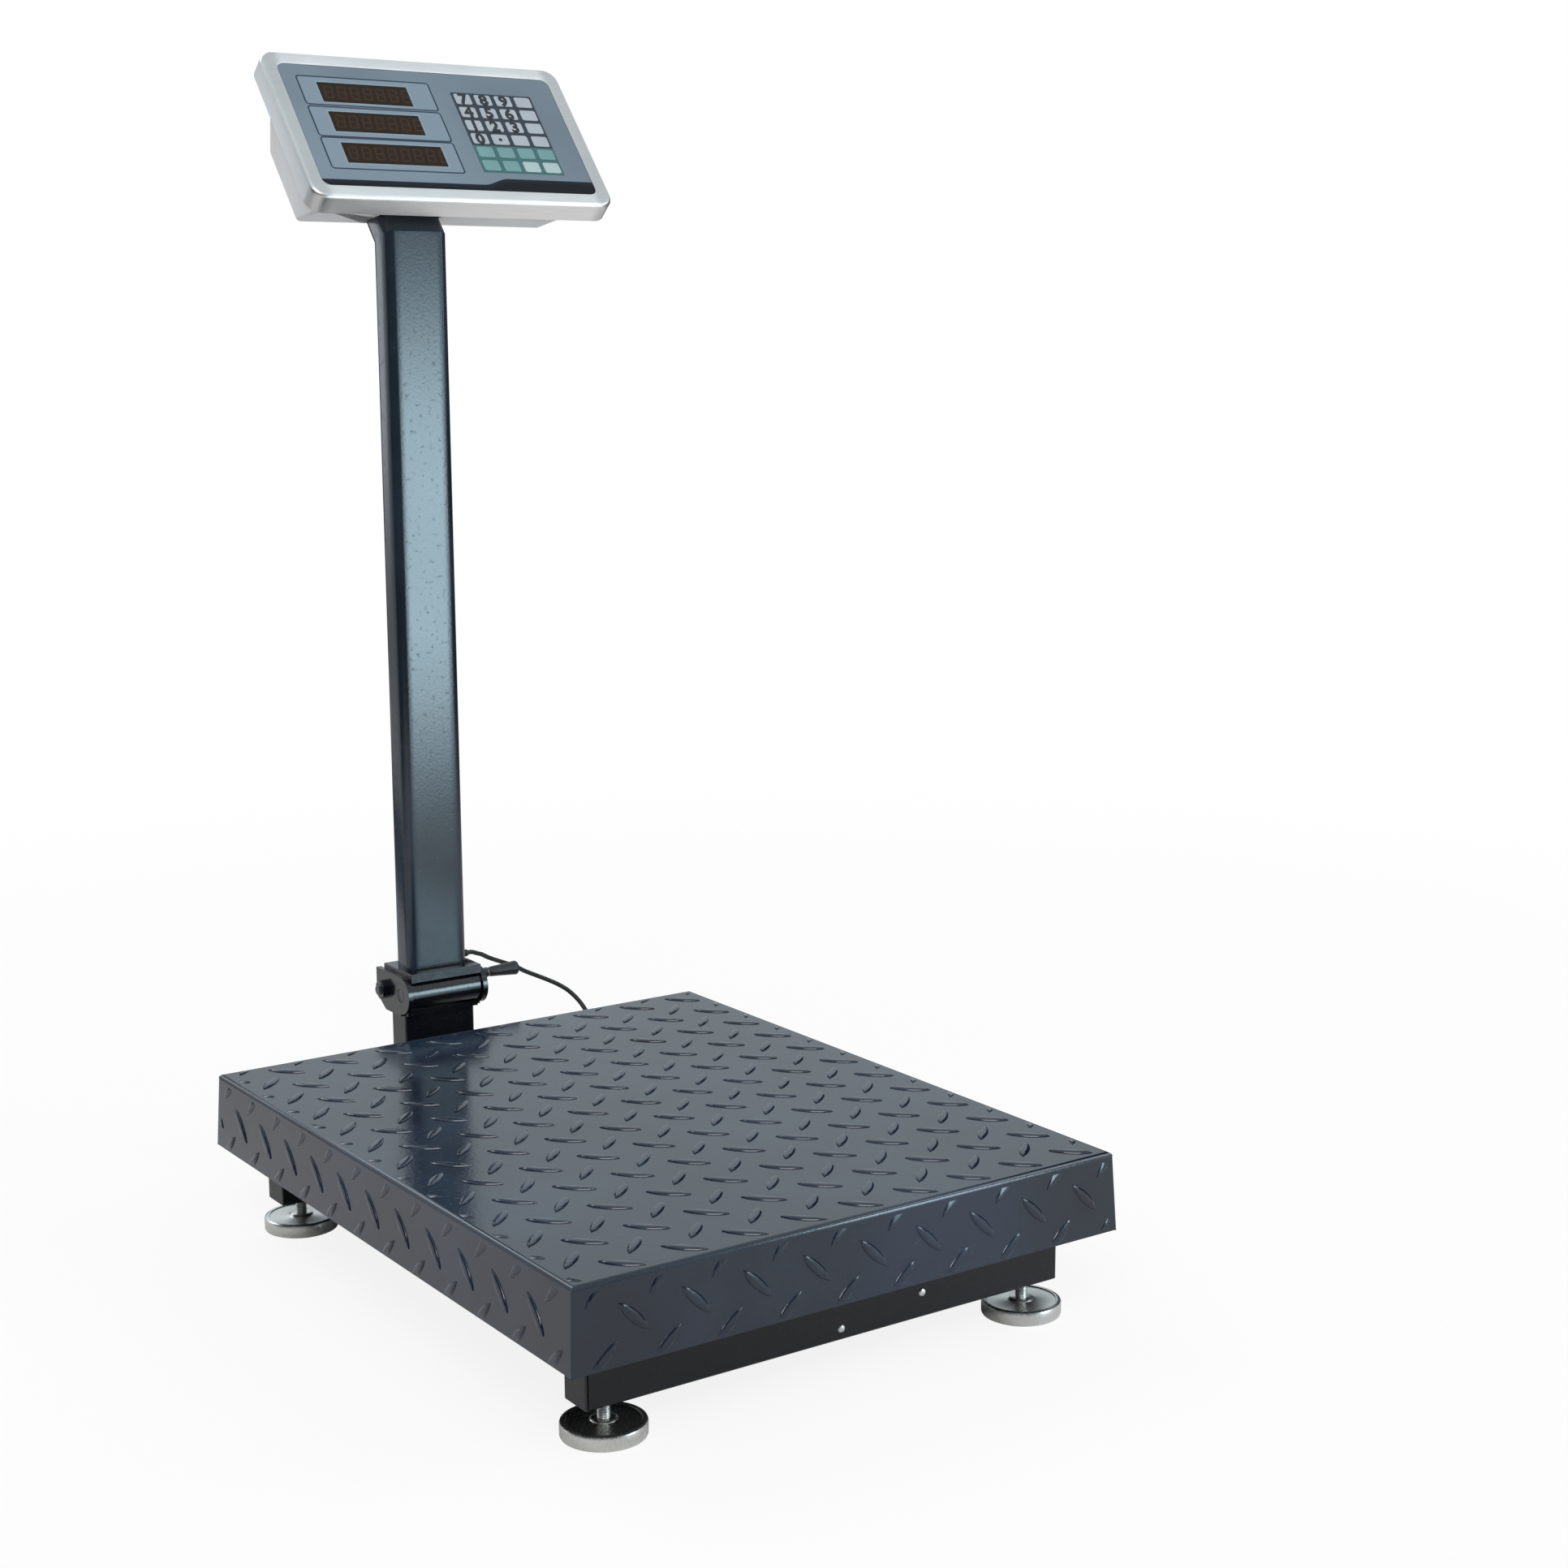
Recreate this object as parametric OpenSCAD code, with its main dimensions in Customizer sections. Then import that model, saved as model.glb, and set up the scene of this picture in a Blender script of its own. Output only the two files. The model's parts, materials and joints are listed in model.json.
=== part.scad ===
// Folding-column platform scale: a tread-plate platform on a tubular base with four
// levelling feet, a tube column that folds forward on a pin hinge, and a tilted indicator.
// Millimetres, +Z up. x runs to the right, y to the back, z up from the floor.
// Pieces are placed from the platform's middle; placed() then centres the part in depth.

/* [Platform] */
// Width of the weighing platform, side to side
platform_w = 400; // [385:1:440]
// Length of the weighing platform, front to back
platform_l = 500; // [490:1:560]
// Thickness of the platform's sheet
plate_t = 3; // [2:0.5:4]
// Height of the platform's skirt, top face to lower edge
skirt_h = 52; // [44:1:56]
// How far the skirt leans out at its lower edge
skirt_flare = 2.5; // [0.5:0.5:4]
// Thickness of the rubber pads under the sheet
pad_t = 2.2; // [1.5:0.1:3]
// Height of the raised tread bars
tread_h = 1.2; // [0.8:0.1:1.6]
// Spacing of the tread bars
tread_pitch = 42; // [36:1:50]
// Length of a tread bar
tread_bar_l = 27; // [20:1:28]
// Width of a tread bar at its middle
tread_bar_w = 6.5; // [4:0.5:7]

/* [Base frame] */
// Height of the beams' undersides above the floor
base_z = 22; // [19:0.5:28]
// Height of the base tubes
beam_h = 50; // [46:1:54]
// Width of the base tubes
beam_w = 25; // [22:1:30]
// Wall of the base tubes
beam_wall = 2; // [1.5:0.5:3]
// Distance from a foot's middle to the end of its beam's tube
beam_end = 17; // [15:0.5:24]
// Distance between the front and rear beams' centres
beam_span = 422; // [400:1:430]
// Distance between the two lengthwise rails' centres
rail_span = 120; // [112:1:150]
// Size of the platform frame's square tubes
frame_tube = 24; // [20:1:28]
// Wall of the platform frame's tubes
frame_wall = 1.5; // [1:0.5:2.5]
// Distance of the platform frame's side tubes inside the platform's edge
frame_inset = 50; // [40:1:60]
// Distance of the side tubes' ends inside the platform's edge
frame_end = 25; // [15:1:30]

/* [Load cell] */
// Length of the load cell
cell_l = 150; // [140:1:170]
// Width of the load cell
cell_w = 30; // [25:1:40]
// Height of the load cell
cell_h = 40; // [36:1:44]
// Radius of the load cell's two cut-outs
cell_cut_r = 11; // [8:0.5:13]
// Thickness of the plates that the cell is bolted to
cell_plate_t = 6; // [5:0.5:8]
// Thickness of the spacers between the cell and its plates
cell_gap = 4; // [3:0.5:6]

/* [Levelling feet] */
// Radius of a foot's disc
foot_r = 26; // [20:0.5:30]
// Thickness of a foot's disc
foot_h = 11; // [8:0.5:13]
// Distance between the feet, side to side
foot_span = 316; // [290:1:322]
// Radius of a foot's stud
foot_stud_r = 4; // [3:0.5:5]
// How far a foot can be screwed out
foot_travel = 10; // [5:1:12]

/* [Hinge] */
// Distance of the hinge pin behind the platform's rear edge
pin_back = 45; // [40:0.5:60]
// Height of the hinge pin above the platform's top
pin_rise = 22; // [20:0.5:28]
// Radius of the hinge pin
pin_r = 5; // [4:0.5:6]
// Outer radius of the barrel round the pin
barrel_r = 12; // [11:0.5:13]
// Radius of the ears' front lobes
lobe_r = 14.5; // [13.5:0.5:16]
// Thickness of the bracket's plate
ear_t = 4; // [3:0.5:5]
// Clear width between the ears
ear_gap = 60; // [58:1:64]
// Thickness of the column foot's plate
foot_plate_t = 6; // [4:0.5:8]
// Distance of the lock bolt behind the hinge pin
lock_back = 26; // [24:0.5:27]
// Radius of the lock bolt
lock_r = 4; // [3:0.5:4.5]
// Length of the lock bolt's bare shank outside the ear
lock_shank = 22; // [16:1:35]
// Length of the lock bolt's grip
grip_l = 25; // [20:1:40]
// Radius of the grip at its thick end
grip_r = 5.6; // [5:0.1:7]

/* [Column] */
// Width of the column tube
col_w = 50; // [44:1:52]
// Depth of the column tube
col_d = 25; // [22:1:26]
// Wall of the column tube
col_wall = 1.5; // [1:0.5:2]
// Corner radius of the column tube
col_corner = 5; // [3:0.5:7]
// Length of the column's front face
col_len = 554; // [540:1:620]
// Length of the tilted neck tube
neck_len = 62; // [56:1:70]
// Radius of the data cable
cable_r = 1.8; // [1.4:0.1:2]

/* [Indicator] */
// Tilt of the indicator's face, back from upright
head_tilt = 40; // [34:1:44]
// Width of the indicator
head_w = 248; // [240:1:270]
// Height of the indicator's face
head_h = 142; // [138:1:160]
// Sideways distance from the column to the indicator's middle
head_shift = 36; // [30:1:40]
// Distance of the indicator's middle above the neck's foot, along the tilt
head_rise = 77; // [75:1:84]
// Distance from the face back to the neck
neck_depth = 26.6; // [25:0.1:29]
// Depth of the stainless front shell
tray_d = 17; // [15:0.5:18]
// Corner radius of the front shell
tray_corner = 12; // [8:0.5:16]
// Wall of the front shell
tray_wall = 1.2; // [0.8:0.1:1.6]
// Width of the front panel
panel_w = 225; // [222:1:228]
// Height of the front panel
panel_h = 118; // [114:1:122]
// Thickness of the front panel
panel_t = 1; // [0.6:0.1:1.2]
// Depth of the front panel below the rim
panel_sink = 0.6; // [0.4:0.1:0.8]
// Wall of the rear shell
shell_wall = 2.5; // [2:0.5:3]
// Number of key columns
key_columns = 4; // [3:1:4]
// Number of key rows
key_rows = 6; // [4:1:6]
// Number of key rows with plain keys, the rest have tinted keys
plain_rows = 4; // [1:1:4]
// Spacing of the keys, side to side
key_pitch_x = 17.2; // [15:0.1:17.5]
// Spacing of the keys, up and down
key_pitch_y = 13.4; // [12:0.1:14]

/* [Hidden] */
$fn = 48;

// Clearances: between bodies that move, in running fits, and round fasteners
gap = 0.3;
fit = 0.05;
bolt_gap = 0.2;
eps = 0.01;
far = 1000;

// Where the tread pattern starts from the platform's middle, in pitches
tread_start = [0.25, 0.43];

// Heights of the base, cell and platform frame, from the floor up
beam_top = base_z + beam_h;
cell_z = base_z + cell_plate_t + cell_gap;
cell_top = cell_z + cell_h;
top_plate_z = cell_top + cell_gap;
frame_z = top_plate_z + cell_plate_t;
platform_z = frame_z + frame_tube + pad_t + plate_t;
beam_y = beam_span / 2;
rail_x = rail_span / 2;
beam_len = foot_span + 2 * beam_end;
cap_t = 2;
cap_in = 8;
frame_span = platform_w - 2 * frame_inset;
frame_len = platform_l - 2 * frame_end;
pad_w = frame_tube - 2;
pad_l = 40;
pad_inset = 30;

// Hinge axis, bracket and column foot
pin_y = platform_l / 2 + pin_back;
pin_z = platform_z + pin_rise;
ear_out = ear_gap / 2 + ear_t;
ear_back = lock_back + 15;
knuckle_half = ear_gap / 2 - gap;
knuckle_t = 4;
knuckle_back = lock_back + 10;
knuckle_front = barrel_r - 1;
web_top = -barrel_r - gap;
web_bottom = web_top - ear_t;
ear_chamfer = 10;
post_w = ear_gap - 1;
post_front = 1;
arm_h = 30;
bush_wall = 2;
bush_l = 16;
slot_gap = gap;
lock_nut_t = 5;
lock_collar_r = 7.5;
lock_collar_t = 3;
lock_end = 2;

// Column and neck: the neck leans back by the head's tilt on a mitre at half of it
col_front = pin_y + post_front;
col_foot = pin_z + barrel_r + foot_plate_t;
col_top = col_foot + col_len;

// Indicator: x across, y into its depth, z up its face, from the middle of the face
rear_d = neck_depth + col_d + gap + shell_wall;
rear_left_in = 11;
rear_right_in = 35;
rear_foot_in = [3, 12];
rear_wall_in = [26, 49];
rear_left = -head_w / 2 + rear_left_in;
rear_right = head_w / 2 - rear_right_in;
rear_profile = [
    [tray_d, -head_h / 2 + rear_foot_in[0]], [rear_d, -head_h / 2 + rear_wall_in[0]],
    [rear_d, head_h / 2 - rear_wall_in[1]], [tray_d, head_h / 2 - rear_foot_in[1]]
];
flange_t = 2;
flange_gap = 0.3;
panel_back = panel_sink + panel_t;
tray_front = 3;
board_d = 8;
board_t = 1.6;
board_w = panel_w - 33;
board_h = panel_h - 18;
standoff_in = 6;
standoff_r = 3;
standoff_x = board_w / 2 - standoff_in;
standoff_z = board_h / 2 - standoff_in;
battery_d = 24;
battery_h = 48;
battery_low = -34;
battery_room = 2.5;
neck_x = -head_shift;
boss_r = 4.5;
screw_r = 2;

// Windows: middle x, middle z, width, height; each in a tilted head of any size
window_w = 72;
window_h = 19;
window_x = -50;
window_rows = [32.5, 3.5, -27];
wide_window_w = 80;
window_t = tray_front - panel_sink;
key_x = 56.5;
key_z = -0.5;
key_w = 14.6;
key_h = 10.8;
key_sheet_t = 0.25;
key_dome_t = 0.2;

// Levelling feet: where the four stand
foot_x = foot_span / 2;
foot_places = [[-1, -1], [1, -1], [-1, 1], [1, 1]];
nut_h = 6.5;
nut_af = 13;
stud_over = 11.5;
stud_top = base_z + beam_wall + nut_h + foot_travel + stud_over;

// Power switch and charger socket, on the rear shell's right end
switch_d = rear_d - 19;
switch_z = -4;
socket_z = -28;
rocker_l = 16;
rocker_w = 10;
rocker_swing = 7;
rocker_pin_r = 1.2;
switch_depth = 12;
switch_w = 13;
switch_l = 19;
socket_r = 4;
flange_out = 1.6;

// Cable: from the gland on the rear beam, up behind the platform, to the column's foot.
// Points are from the platform's middle and the floor.
gland_x = 140;
gland_z = 45;
gland_l = 12.5;
cable_points = [
    [140, 236, 45], [140, 246, 45], [140, 256, 45], [141, 267, 46], [142, 278, 50], [144, 289, 57],
    [145, 300, 66], [146, 309, 76], [144, 318, 86], [141, 326, 95], [135, 332, 103],
    [127, 335, 109], [118, 337, 114], [108, 338, 119], [98, 338, 124], [88, 337, 130],
    [77, 334, 135], [66, 329, 140], [56, 322, 145], [47, 315, 150], [40, 310, 153],
    [35, 308.5, 155], [31, 308.5, 155]
];
cable_sides = 8;
cable_hole_rise = 3.8;
grommet_l = 6;

// The part's depth, so that the origin is under the middle of its box
skirt_lean = atan(skirt_flare / skirt_h);
bar_low = skirt_h / 2 + tread_bar_l * sin(45) / 2;
depth_front = -platform_l / 2 - max(skirt_flare, bar_low * tan(skirt_lean) + tread_h);
depth_back = col_front + (head_h / 2 + head_rise) * sin(head_tilt)
    + (tray_d - neck_depth) * cos(head_tilt);
depth_mid = (depth_front + depth_back) / 2;

// ---------- shared shapes ----------

// Moves a piece from the platform's frame to the part's own
module placed() translate([0, -depth_mid, 0]) children();

// Stands a piece on the hinge axis, y back and z up from the pin
module at_pin() placed() translate([0, pin_y, pin_z]) children();

// The neck's foot: the column's front top edge, turned by the tilt
module at_neck() placed() translate([0, col_front, col_top]) rotate([-head_tilt, 0, 0]) children();

// The middle of the indicator's face
module at_head() at_neck() translate([head_shift, -neck_depth, head_rise]) children();

// A box centred on x and y, standing on z = 0
module slab(w, l, h) translate([-w / 2, -l / 2, 0]) cube([w, l, h]);

// A rectangle with round corners, centred
module round_rect(w, h, r) {
    square([w - 2 * r, h], center = true);
    square([w, h - 2 * r], center = true);
    for (sx = [-1, 1], sy = [-1, 1])
        translate([sx * (w / 2 - r), sy * (h / 2 - r)]) circle(r);
}

// A hollow box tube of outer size w by h, along +z
module box_tube(w, h, wall, l) difference() {
    slab(w, h, l);
    translate([0, 0, -1]) slab(w - 2 * wall, h - 2 * wall, l + 2);
}

// The same tube lying along x or y, centred on its length, standing on z = 0
module tube_x(l, w, h, wall) translate([-l / 2, 0, h / 2]) rotate([90, 0, 90])
    box_tube(w, h, wall, l);
module tube_y(l, w, h, wall) translate([0, l / 2, h / 2]) rotate([90, 0, 0])
    box_tube(w, h, wall, l);

// A round rod along x between two places
module rod_x(r, from, to) translate([from, 0, 0]) rotate([0, 90, 0]) cylinder(r = r, h = to - from);

// A hexagon nut or head with a bore, standing on z = 0
module hex_nut(af, h, bore_r) difference() {
    cylinder(r = af / 2 / cos(30), h = h, $fn = 6);
    translate([0, 0, -1]) cylinder(r = bore_r, h = h + 2);
}

// ---------- base frame ----------

// A cross beam, with holes for its two feet in the lower wall
module beam_body() difference() {
    translate([0, 0, base_z]) tube_x(beam_len, beam_w, beam_h, beam_wall);
    for (sx = [-1, 1])
        translate([sx * foot_x, 0, base_z - 1]) cylinder(r = foot_stud_r + gap, h = beam_wall + 2);
}

module front_beam() color([0.06, 0.07, 0.09]) placed() translate([0, -beam_y, 0]) beam_body();

module rear_beam() color([0.06, 0.07, 0.09]) placed() difference() {
    translate([0, beam_y, 0]) beam_body();
    translate([gland_x, beam_y + beam_w / 2 + 1, gland_z]) rotate([90, 0, 0])
        cylinder(r = 5 + bolt_gap, h = beam_wall + 2);
}

module rail(side) color([0.06, 0.07, 0.09]) placed()
    translate([side * rail_x, 0, base_z]) tube_y(beam_span - beam_w, beam_w, beam_h, beam_wall);
module left_rail() rail(-1);
module right_rail() rail(1);

// Push-in caps that close the beams' ends
module beam_caps() color([0.03, 0.03, 0.03]) placed()
    for (sx = [-1, 1], sy = [-1, 1]) translate([sx * beam_len / 2, sy * beam_y, base_z + beam_h / 2]) {
        rotate([0, sx * 90, 0]) slab(beam_h - 1, beam_w - 1, cap_t);
        translate([-sx * cap_in / 2, 0, -beam_h / 2 + beam_wall + gap])
            slab(cap_in, beam_w - 2 * beam_wall - 2 * gap, beam_h - 2 * beam_wall - 2 * gap);
    }

// The arm under the platform's rear skirt, out to the column post
module column_arm() color([0.06, 0.07, 0.09]) placed() {
    arm_start = beam_y + beam_w / 2;
    arm_l = col_front - arm_start;
    translate([0, arm_start + arm_l / 2, base_z]) tube_y(arm_l, post_w, arm_h, beam_wall);
}

module column_post() color([0.06, 0.07, 0.09]) placed()
    translate([0, col_front + col_d / 2, base_z])
        box_tube(post_w, col_d, beam_wall, pin_z + web_bottom - base_z);

// ---------- hinge bracket and its pins ----------

// One ear's outline, y back and z up from the pin
module ear_outline() {
    circle(lobe_r);
    polygon([
        [0, lobe_r], [ear_back, lobe_r], [ear_back, web_bottom + ear_chamfer],
        [col_d + post_front, web_bottom], [0, web_bottom]
    ]);
}

// Turns an outline drawn in y and z into a plate along x
module plate_yz(from, to) translate([from, 0, 0]) rotate([90, 0, 90])
    linear_extrude(to - from) children();

// A plate bent to a U: two ears on a web that is welded to the post
module hinge_bracket() color([0.05, 0.06, 0.07]) at_pin() difference() {
    union() {
        for (sx = [0, 1]) mirror([sx, 0, 0]) plate_yz(ear_gap / 2, ear_out) ear_outline();
        translate([-ear_gap / 2 - eps, -4, web_bottom])
            cube([ear_gap + 2 * eps, col_d + post_front + 4, ear_t]);
    }
    rod_x(pin_r + fit, -far, far);
    translate([0, lock_back, 0]) rod_x(lock_r + fit, -far, far);
}

module hinge_pin() color([0.25, 0.26, 0.28]) at_pin() rod_x(pin_r, -ear_out, ear_out);

// The nut welded to the left ear, which the lock bolt runs in
module lock_nut() color([0.05, 0.06, 0.07]) at_pin()
    translate([-ear_out - lock_nut_t, lock_back, 0]) rotate([0, 90, 0])
        hex_nut(nut_af, lock_nut_t, lock_r + fit);

// ---------- load cell and platform frame ----------

// Places of the two bolts at each end of the cell, from that end's middle
cell_bolt_y = [-11, 11];
cell_end_inset = 22;
cell_end = cell_l / 2 - cell_end_inset;
cell_bolt_r = 4;
cell_bolt_in = 14;
cell_plate_l = 60;
cell_spacer_l = 42;
cell_head_r = 7.5;
cell_head_h = 5.3;
cell_clear = 20;
top_plate_w = 120;

module cell_base_plate() color([0.06, 0.07, 0.09]) placed() translate([0, cell_end, base_z])
    difference() {
        slab(rail_span - beam_w, cell_plate_l, cell_plate_t);
        for (y = cell_bolt_y) translate([0, y, -1])
            cylinder(r = cell_bolt_r + bolt_gap, h = cell_plate_t + 2);
    }

module cell_spacer(y, z) translate([0, y, z]) difference() {
    slab(cell_w, cell_spacer_l, cell_gap);
    for (dy = cell_bolt_y) translate([0, dy, -1])
        cylinder(r = cell_bolt_r + bolt_gap, h = cell_gap + 2);
}
module cell_spacers() color([0.7, 0.71, 0.73]) placed() {
    cell_spacer(cell_end, base_z + cell_plate_t);
    cell_spacer(-cell_end, cell_top);
}

// A single-point cell: a beam with two joined round cut-outs that leave thin flexures
module load_cell() color([0.75, 0.76, 0.78]) placed() difference() {
    cut_y = 17;
    bolt_depth = 16;
    translate([0, 0, cell_z]) slab(cell_w, cell_l, cell_h);
    for (sy = [-1, 1]) translate([0, sy * cut_y, cell_z + cell_h / 2])
        rod_x(cell_cut_r, -cell_w, cell_w);
    translate([0, 0, cell_z + cell_h / 2 - cell_cut_r / 2]) slab(2 * cell_w, 2 * cut_y, cell_cut_r);
    for (y = cell_bolt_y) {
        translate([0, cell_end + y, cell_z - 1])
            cylinder(r = cell_bolt_r + bolt_gap, h = bolt_depth + 1);
        translate([0, y - cell_end, cell_top - bolt_depth])
            cylinder(r = cell_bolt_r + bolt_gap, h = bolt_depth + 1);
    }
}

// Hexagon bolts: two up into the cell's fixed end, two down into its live end
module cell_bolt() {
    cylinder(r = cell_bolt_r, h = cell_plate_t + cell_gap + cell_bolt_in);
    translate([0, 0, -cell_head_h]) cylinder(r = cell_head_r, h = cell_head_h, $fn = 6);
}
module cell_bolts() color([0.6, 0.61, 0.63]) placed() for (y = cell_bolt_y) {
    translate([0, cell_end + y, base_z]) cell_bolt();
    translate([0, y - cell_end, frame_z]) rotate([180, 0, 0]) cell_bolt();
}

module cell_top_plate() color([0.06, 0.07, 0.09]) placed() translate([0, -cell_end, top_plate_z])
    difference() {
        slab(top_plate_w, cell_plate_l + 4, cell_plate_t);
        for (y = cell_bolt_y) translate([0, y, -1])
            cylinder(r = cell_bolt_r + bolt_gap, h = cell_plate_t + 2);
    }

// Set bolts on the beams that stop the frame when the platform is overloaded
module overload_stops() color([0.6, 0.61, 0.63]) placed()
    for (sx = [-1, 1], sy = [-1, 1]) translate([sx * frame_span / 2, sy * beam_y, beam_top]) {
        cylinder(r = 6.5, h = 4, $fn = 6);
        cylinder(r = 4, h = frame_z - beam_top - gap);
    }

module frame_side(side) color([0.06, 0.07, 0.09]) placed()
    translate([side * frame_span / 2, 0, frame_z])
        tube_y(frame_len, frame_tube, frame_tube, frame_wall);
module frame_left_tube() frame_side(-1);
module frame_right_tube() frame_side(1);

module frame_cross(y) translate([0, y, frame_z])
    tube_x(frame_span - frame_tube, frame_tube, frame_tube, frame_wall);
module frame_end_tubes() color([0.06, 0.07, 0.09]) placed()
    for (sy = [-1, 1]) frame_cross(sy * (frame_len - frame_tube) / 2);
// The two tubes on the cell's top plate, one each side of its bolts
module frame_middle_tubes() color([0.06, 0.07, 0.09]) placed()
    for (sy = [-1, 1]) frame_cross(-cell_end + sy * (frame_tube / 2 + cell_clear));

module platform_pads() color([0.02, 0.02, 0.02]) placed()
    for (sx = [-1, 1], sy = [-1, 0, 1])
        translate([sx * frame_span / 2, sy * (frame_len / 2 - pad_inset), frame_z + frame_tube])
            slab(pad_w, pad_l, pad_t);

// The platform: a flat sheet with four skirts that lean out a little
module skirted_block(inset, top, drop) {
    lean = skirt_flare / skirt_h;
    h = top - platform_z + skirt_h + drop;
    w = platform_w + 2 * (skirt_flare + lean * drop - inset);
    l = platform_l + 2 * (skirt_flare + lean * drop - inset);
    translate([0, 0, top - h])
        linear_extrude(h, scale = [1 - 2 * lean * h / w, 1 - 2 * lean * h / l], slices = 1)
            square([w, l], center = true);
}
module platform_plate() color([0.16, 0.18, 0.21]) placed() difference() {
    skirted_block(0, platform_z, 0);
    skirted_block(plate_t, platform_z - plate_t, 1);
}

// One raised bar of the tread, pointed at both ends
module tread_bar() linear_extrude(tread_h) polygon([
    [-tread_bar_l / 2, 0], [-tread_bar_l / 4, -tread_bar_w / 2.4], [0, -tread_bar_w / 2],
    [tread_bar_l / 4, -tread_bar_w / 2.4], [tread_bar_l / 2, 0],
    [tread_bar_l / 4, tread_bar_w / 2.4], [0, tread_bar_w / 2], [-tread_bar_l / 4, tread_bar_w / 2.4]
]);

// Rows of bars on a flat face of size w by l: one slant on a grid, the other half a pitch off
module tread_field(w, l) {
    margin = tread_bar_l * cos(45) / 2 + 1;
    nx = floor(w / tread_pitch / 2 + 1);
    ny = floor(l / tread_pitch / 2 + 1);
    for (i = [-nx:nx], j = [-ny:ny], s = [0, 1]) {
        x = (i + s / 2 + tread_start.x) * tread_pitch;
        y = (j + s / 2 + tread_start.y) * tread_pitch;
        if (abs(x) < w / 2 - margin && abs(y) < l / 2 - margin)
            translate([x, y, 0]) rotate(s == 0 ? -45 : 45) tread_bar();
    }
}

// A row of bars along the middle of one skirt, on a quarter turn of the platform
module tread_row(turn, width, half) {
    count = floor((width - tread_bar_l) / tread_pitch) + 1;
    rotate(turn) translate([0, -half, platform_z]) rotate([90 - skirt_lean, 0, 0])
        for (i = [0:count - 1])
            translate([(i - (count - 1) / 2) * tread_pitch, -skirt_h / 2, 0]) rotate(-45) tread_bar();
}

// The tread pattern on the top and down the skirts
module tread_bars() color([0.2, 0.22, 0.25]) placed() {
    translate([0, 0, platform_z]) tread_field(platform_w, platform_l);
    for (turn = [0, 180]) tread_row(turn, platform_w, platform_l / 2);
    for (turn = [90, 270]) tread_row(turn, platform_l, platform_w / 2);
}

// ---------- levelling feet ----------

module at_foot(k) placed() translate([foot_places[k][0] * foot_x, foot_places[k][1] * beam_y, 0])
    children();

// A disc with a dished top, a low hub and a chamfered rim
module foot_disc(k) color([0.62, 0.62, 0.6]) at_foot(k) rotate_extrude() polygon([
    [0, 0], [foot_r - 1, 0], [foot_r, 1], [foot_r, foot_h - 3], [foot_r - 1.5, foot_h - 1.5],
    [foot_stud_r + 6, foot_h - 1], [foot_stud_r + 5, foot_h], [foot_stud_r + fit, foot_h],
    [foot_stud_r + fit, 3], [0, 3]
]);
module foot_disc_front_left() foot_disc(0);
module foot_disc_front_right() foot_disc(1);
module foot_disc_rear_left() foot_disc(2);
module foot_disc_rear_right() foot_disc(3);

module foot_stud(k) color([0.75, 0.75, 0.74]) at_foot(k)
    translate([0, 0, 3]) cylinder(r = foot_stud_r, h = stud_top - 3);
module foot_stud_front_left() foot_stud(0);
module foot_stud_front_right() foot_stud(1);
module foot_stud_rear_left() foot_stud(2);
module foot_stud_rear_right() foot_stud(3);

// Nuts welded inside the beams, which the studs run in
module foot_nuts() color([0.6, 0.61, 0.63]) for (k = [0:3]) at_foot(k)
    translate([0, 0, base_z + beam_wall]) hex_nut(nut_af, nut_h, foot_stud_r + fit);

// ---------- cable ----------

module cable_gland() color([0.03, 0.03, 0.03]) placed()
    translate([gland_x, beam_y + beam_w / 2, gland_z]) rotate([-90, 0, 0]) {
        translate([0, 0, -5]) cylinder(r = 5, h = 5 + eps);
        cylinder(r = 8, h = 5, $fn = 6);
        translate([0, 0, 5]) cylinder(r1 = 6.5, r2 = 4, h = gland_l - 5);
    }

// A tube swept along points: a ring of sides at each, square to the way on
function unit(v) = v / norm(v);
function way(p, i) = unit(p[min(i + 1, len(p) - 1)] - p[max(i - 1, 0)]);
function ring(p, i, r, n) = let (
        d = way(p, i),
        side = unit(cross(d, [0.3, 0.2, -1])),
        up = cross(side, d)
    ) [for (k = [0:n - 1]) p[i] + r * (cos(360 * k / n) * side + sin(360 * k / n) * up)];
module swept_tube(p, r, n) {
    count = len(p);
    points = [for (i = [0:count - 1]) each ring(p, i, r, n)];
    walls = [for (i = [0:count - 2], k = [0:n - 1])
        [i * n + k, i * n + (k + 1) % n, (i + 1) * n + (k + 1) % n, (i + 1) * n + k]];
    start = [for (k = [n - 1:-1:0]) k];
    end = [for (k = [0:n - 1]) (count - 1) * n + k];
    polyhedron(points, concat(walls, [start, end]));
}
module data_cable() color([0.02, 0.02, 0.02]) placed()
    swept_tube(cable_points, cable_r, cable_sides);

// ---------- column ----------

// The column foot's cheek, y back and z up from the pin
module cheek_outline() {
    circle(barrel_r);
    polygon([
        [-knuckle_front, barrel_r], [knuckle_back, barrel_r], [knuckle_back, -5],
        [knuckle_back - 12, 1 - barrel_r], [0, 1 - barrel_r]
    ]);
}

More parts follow.
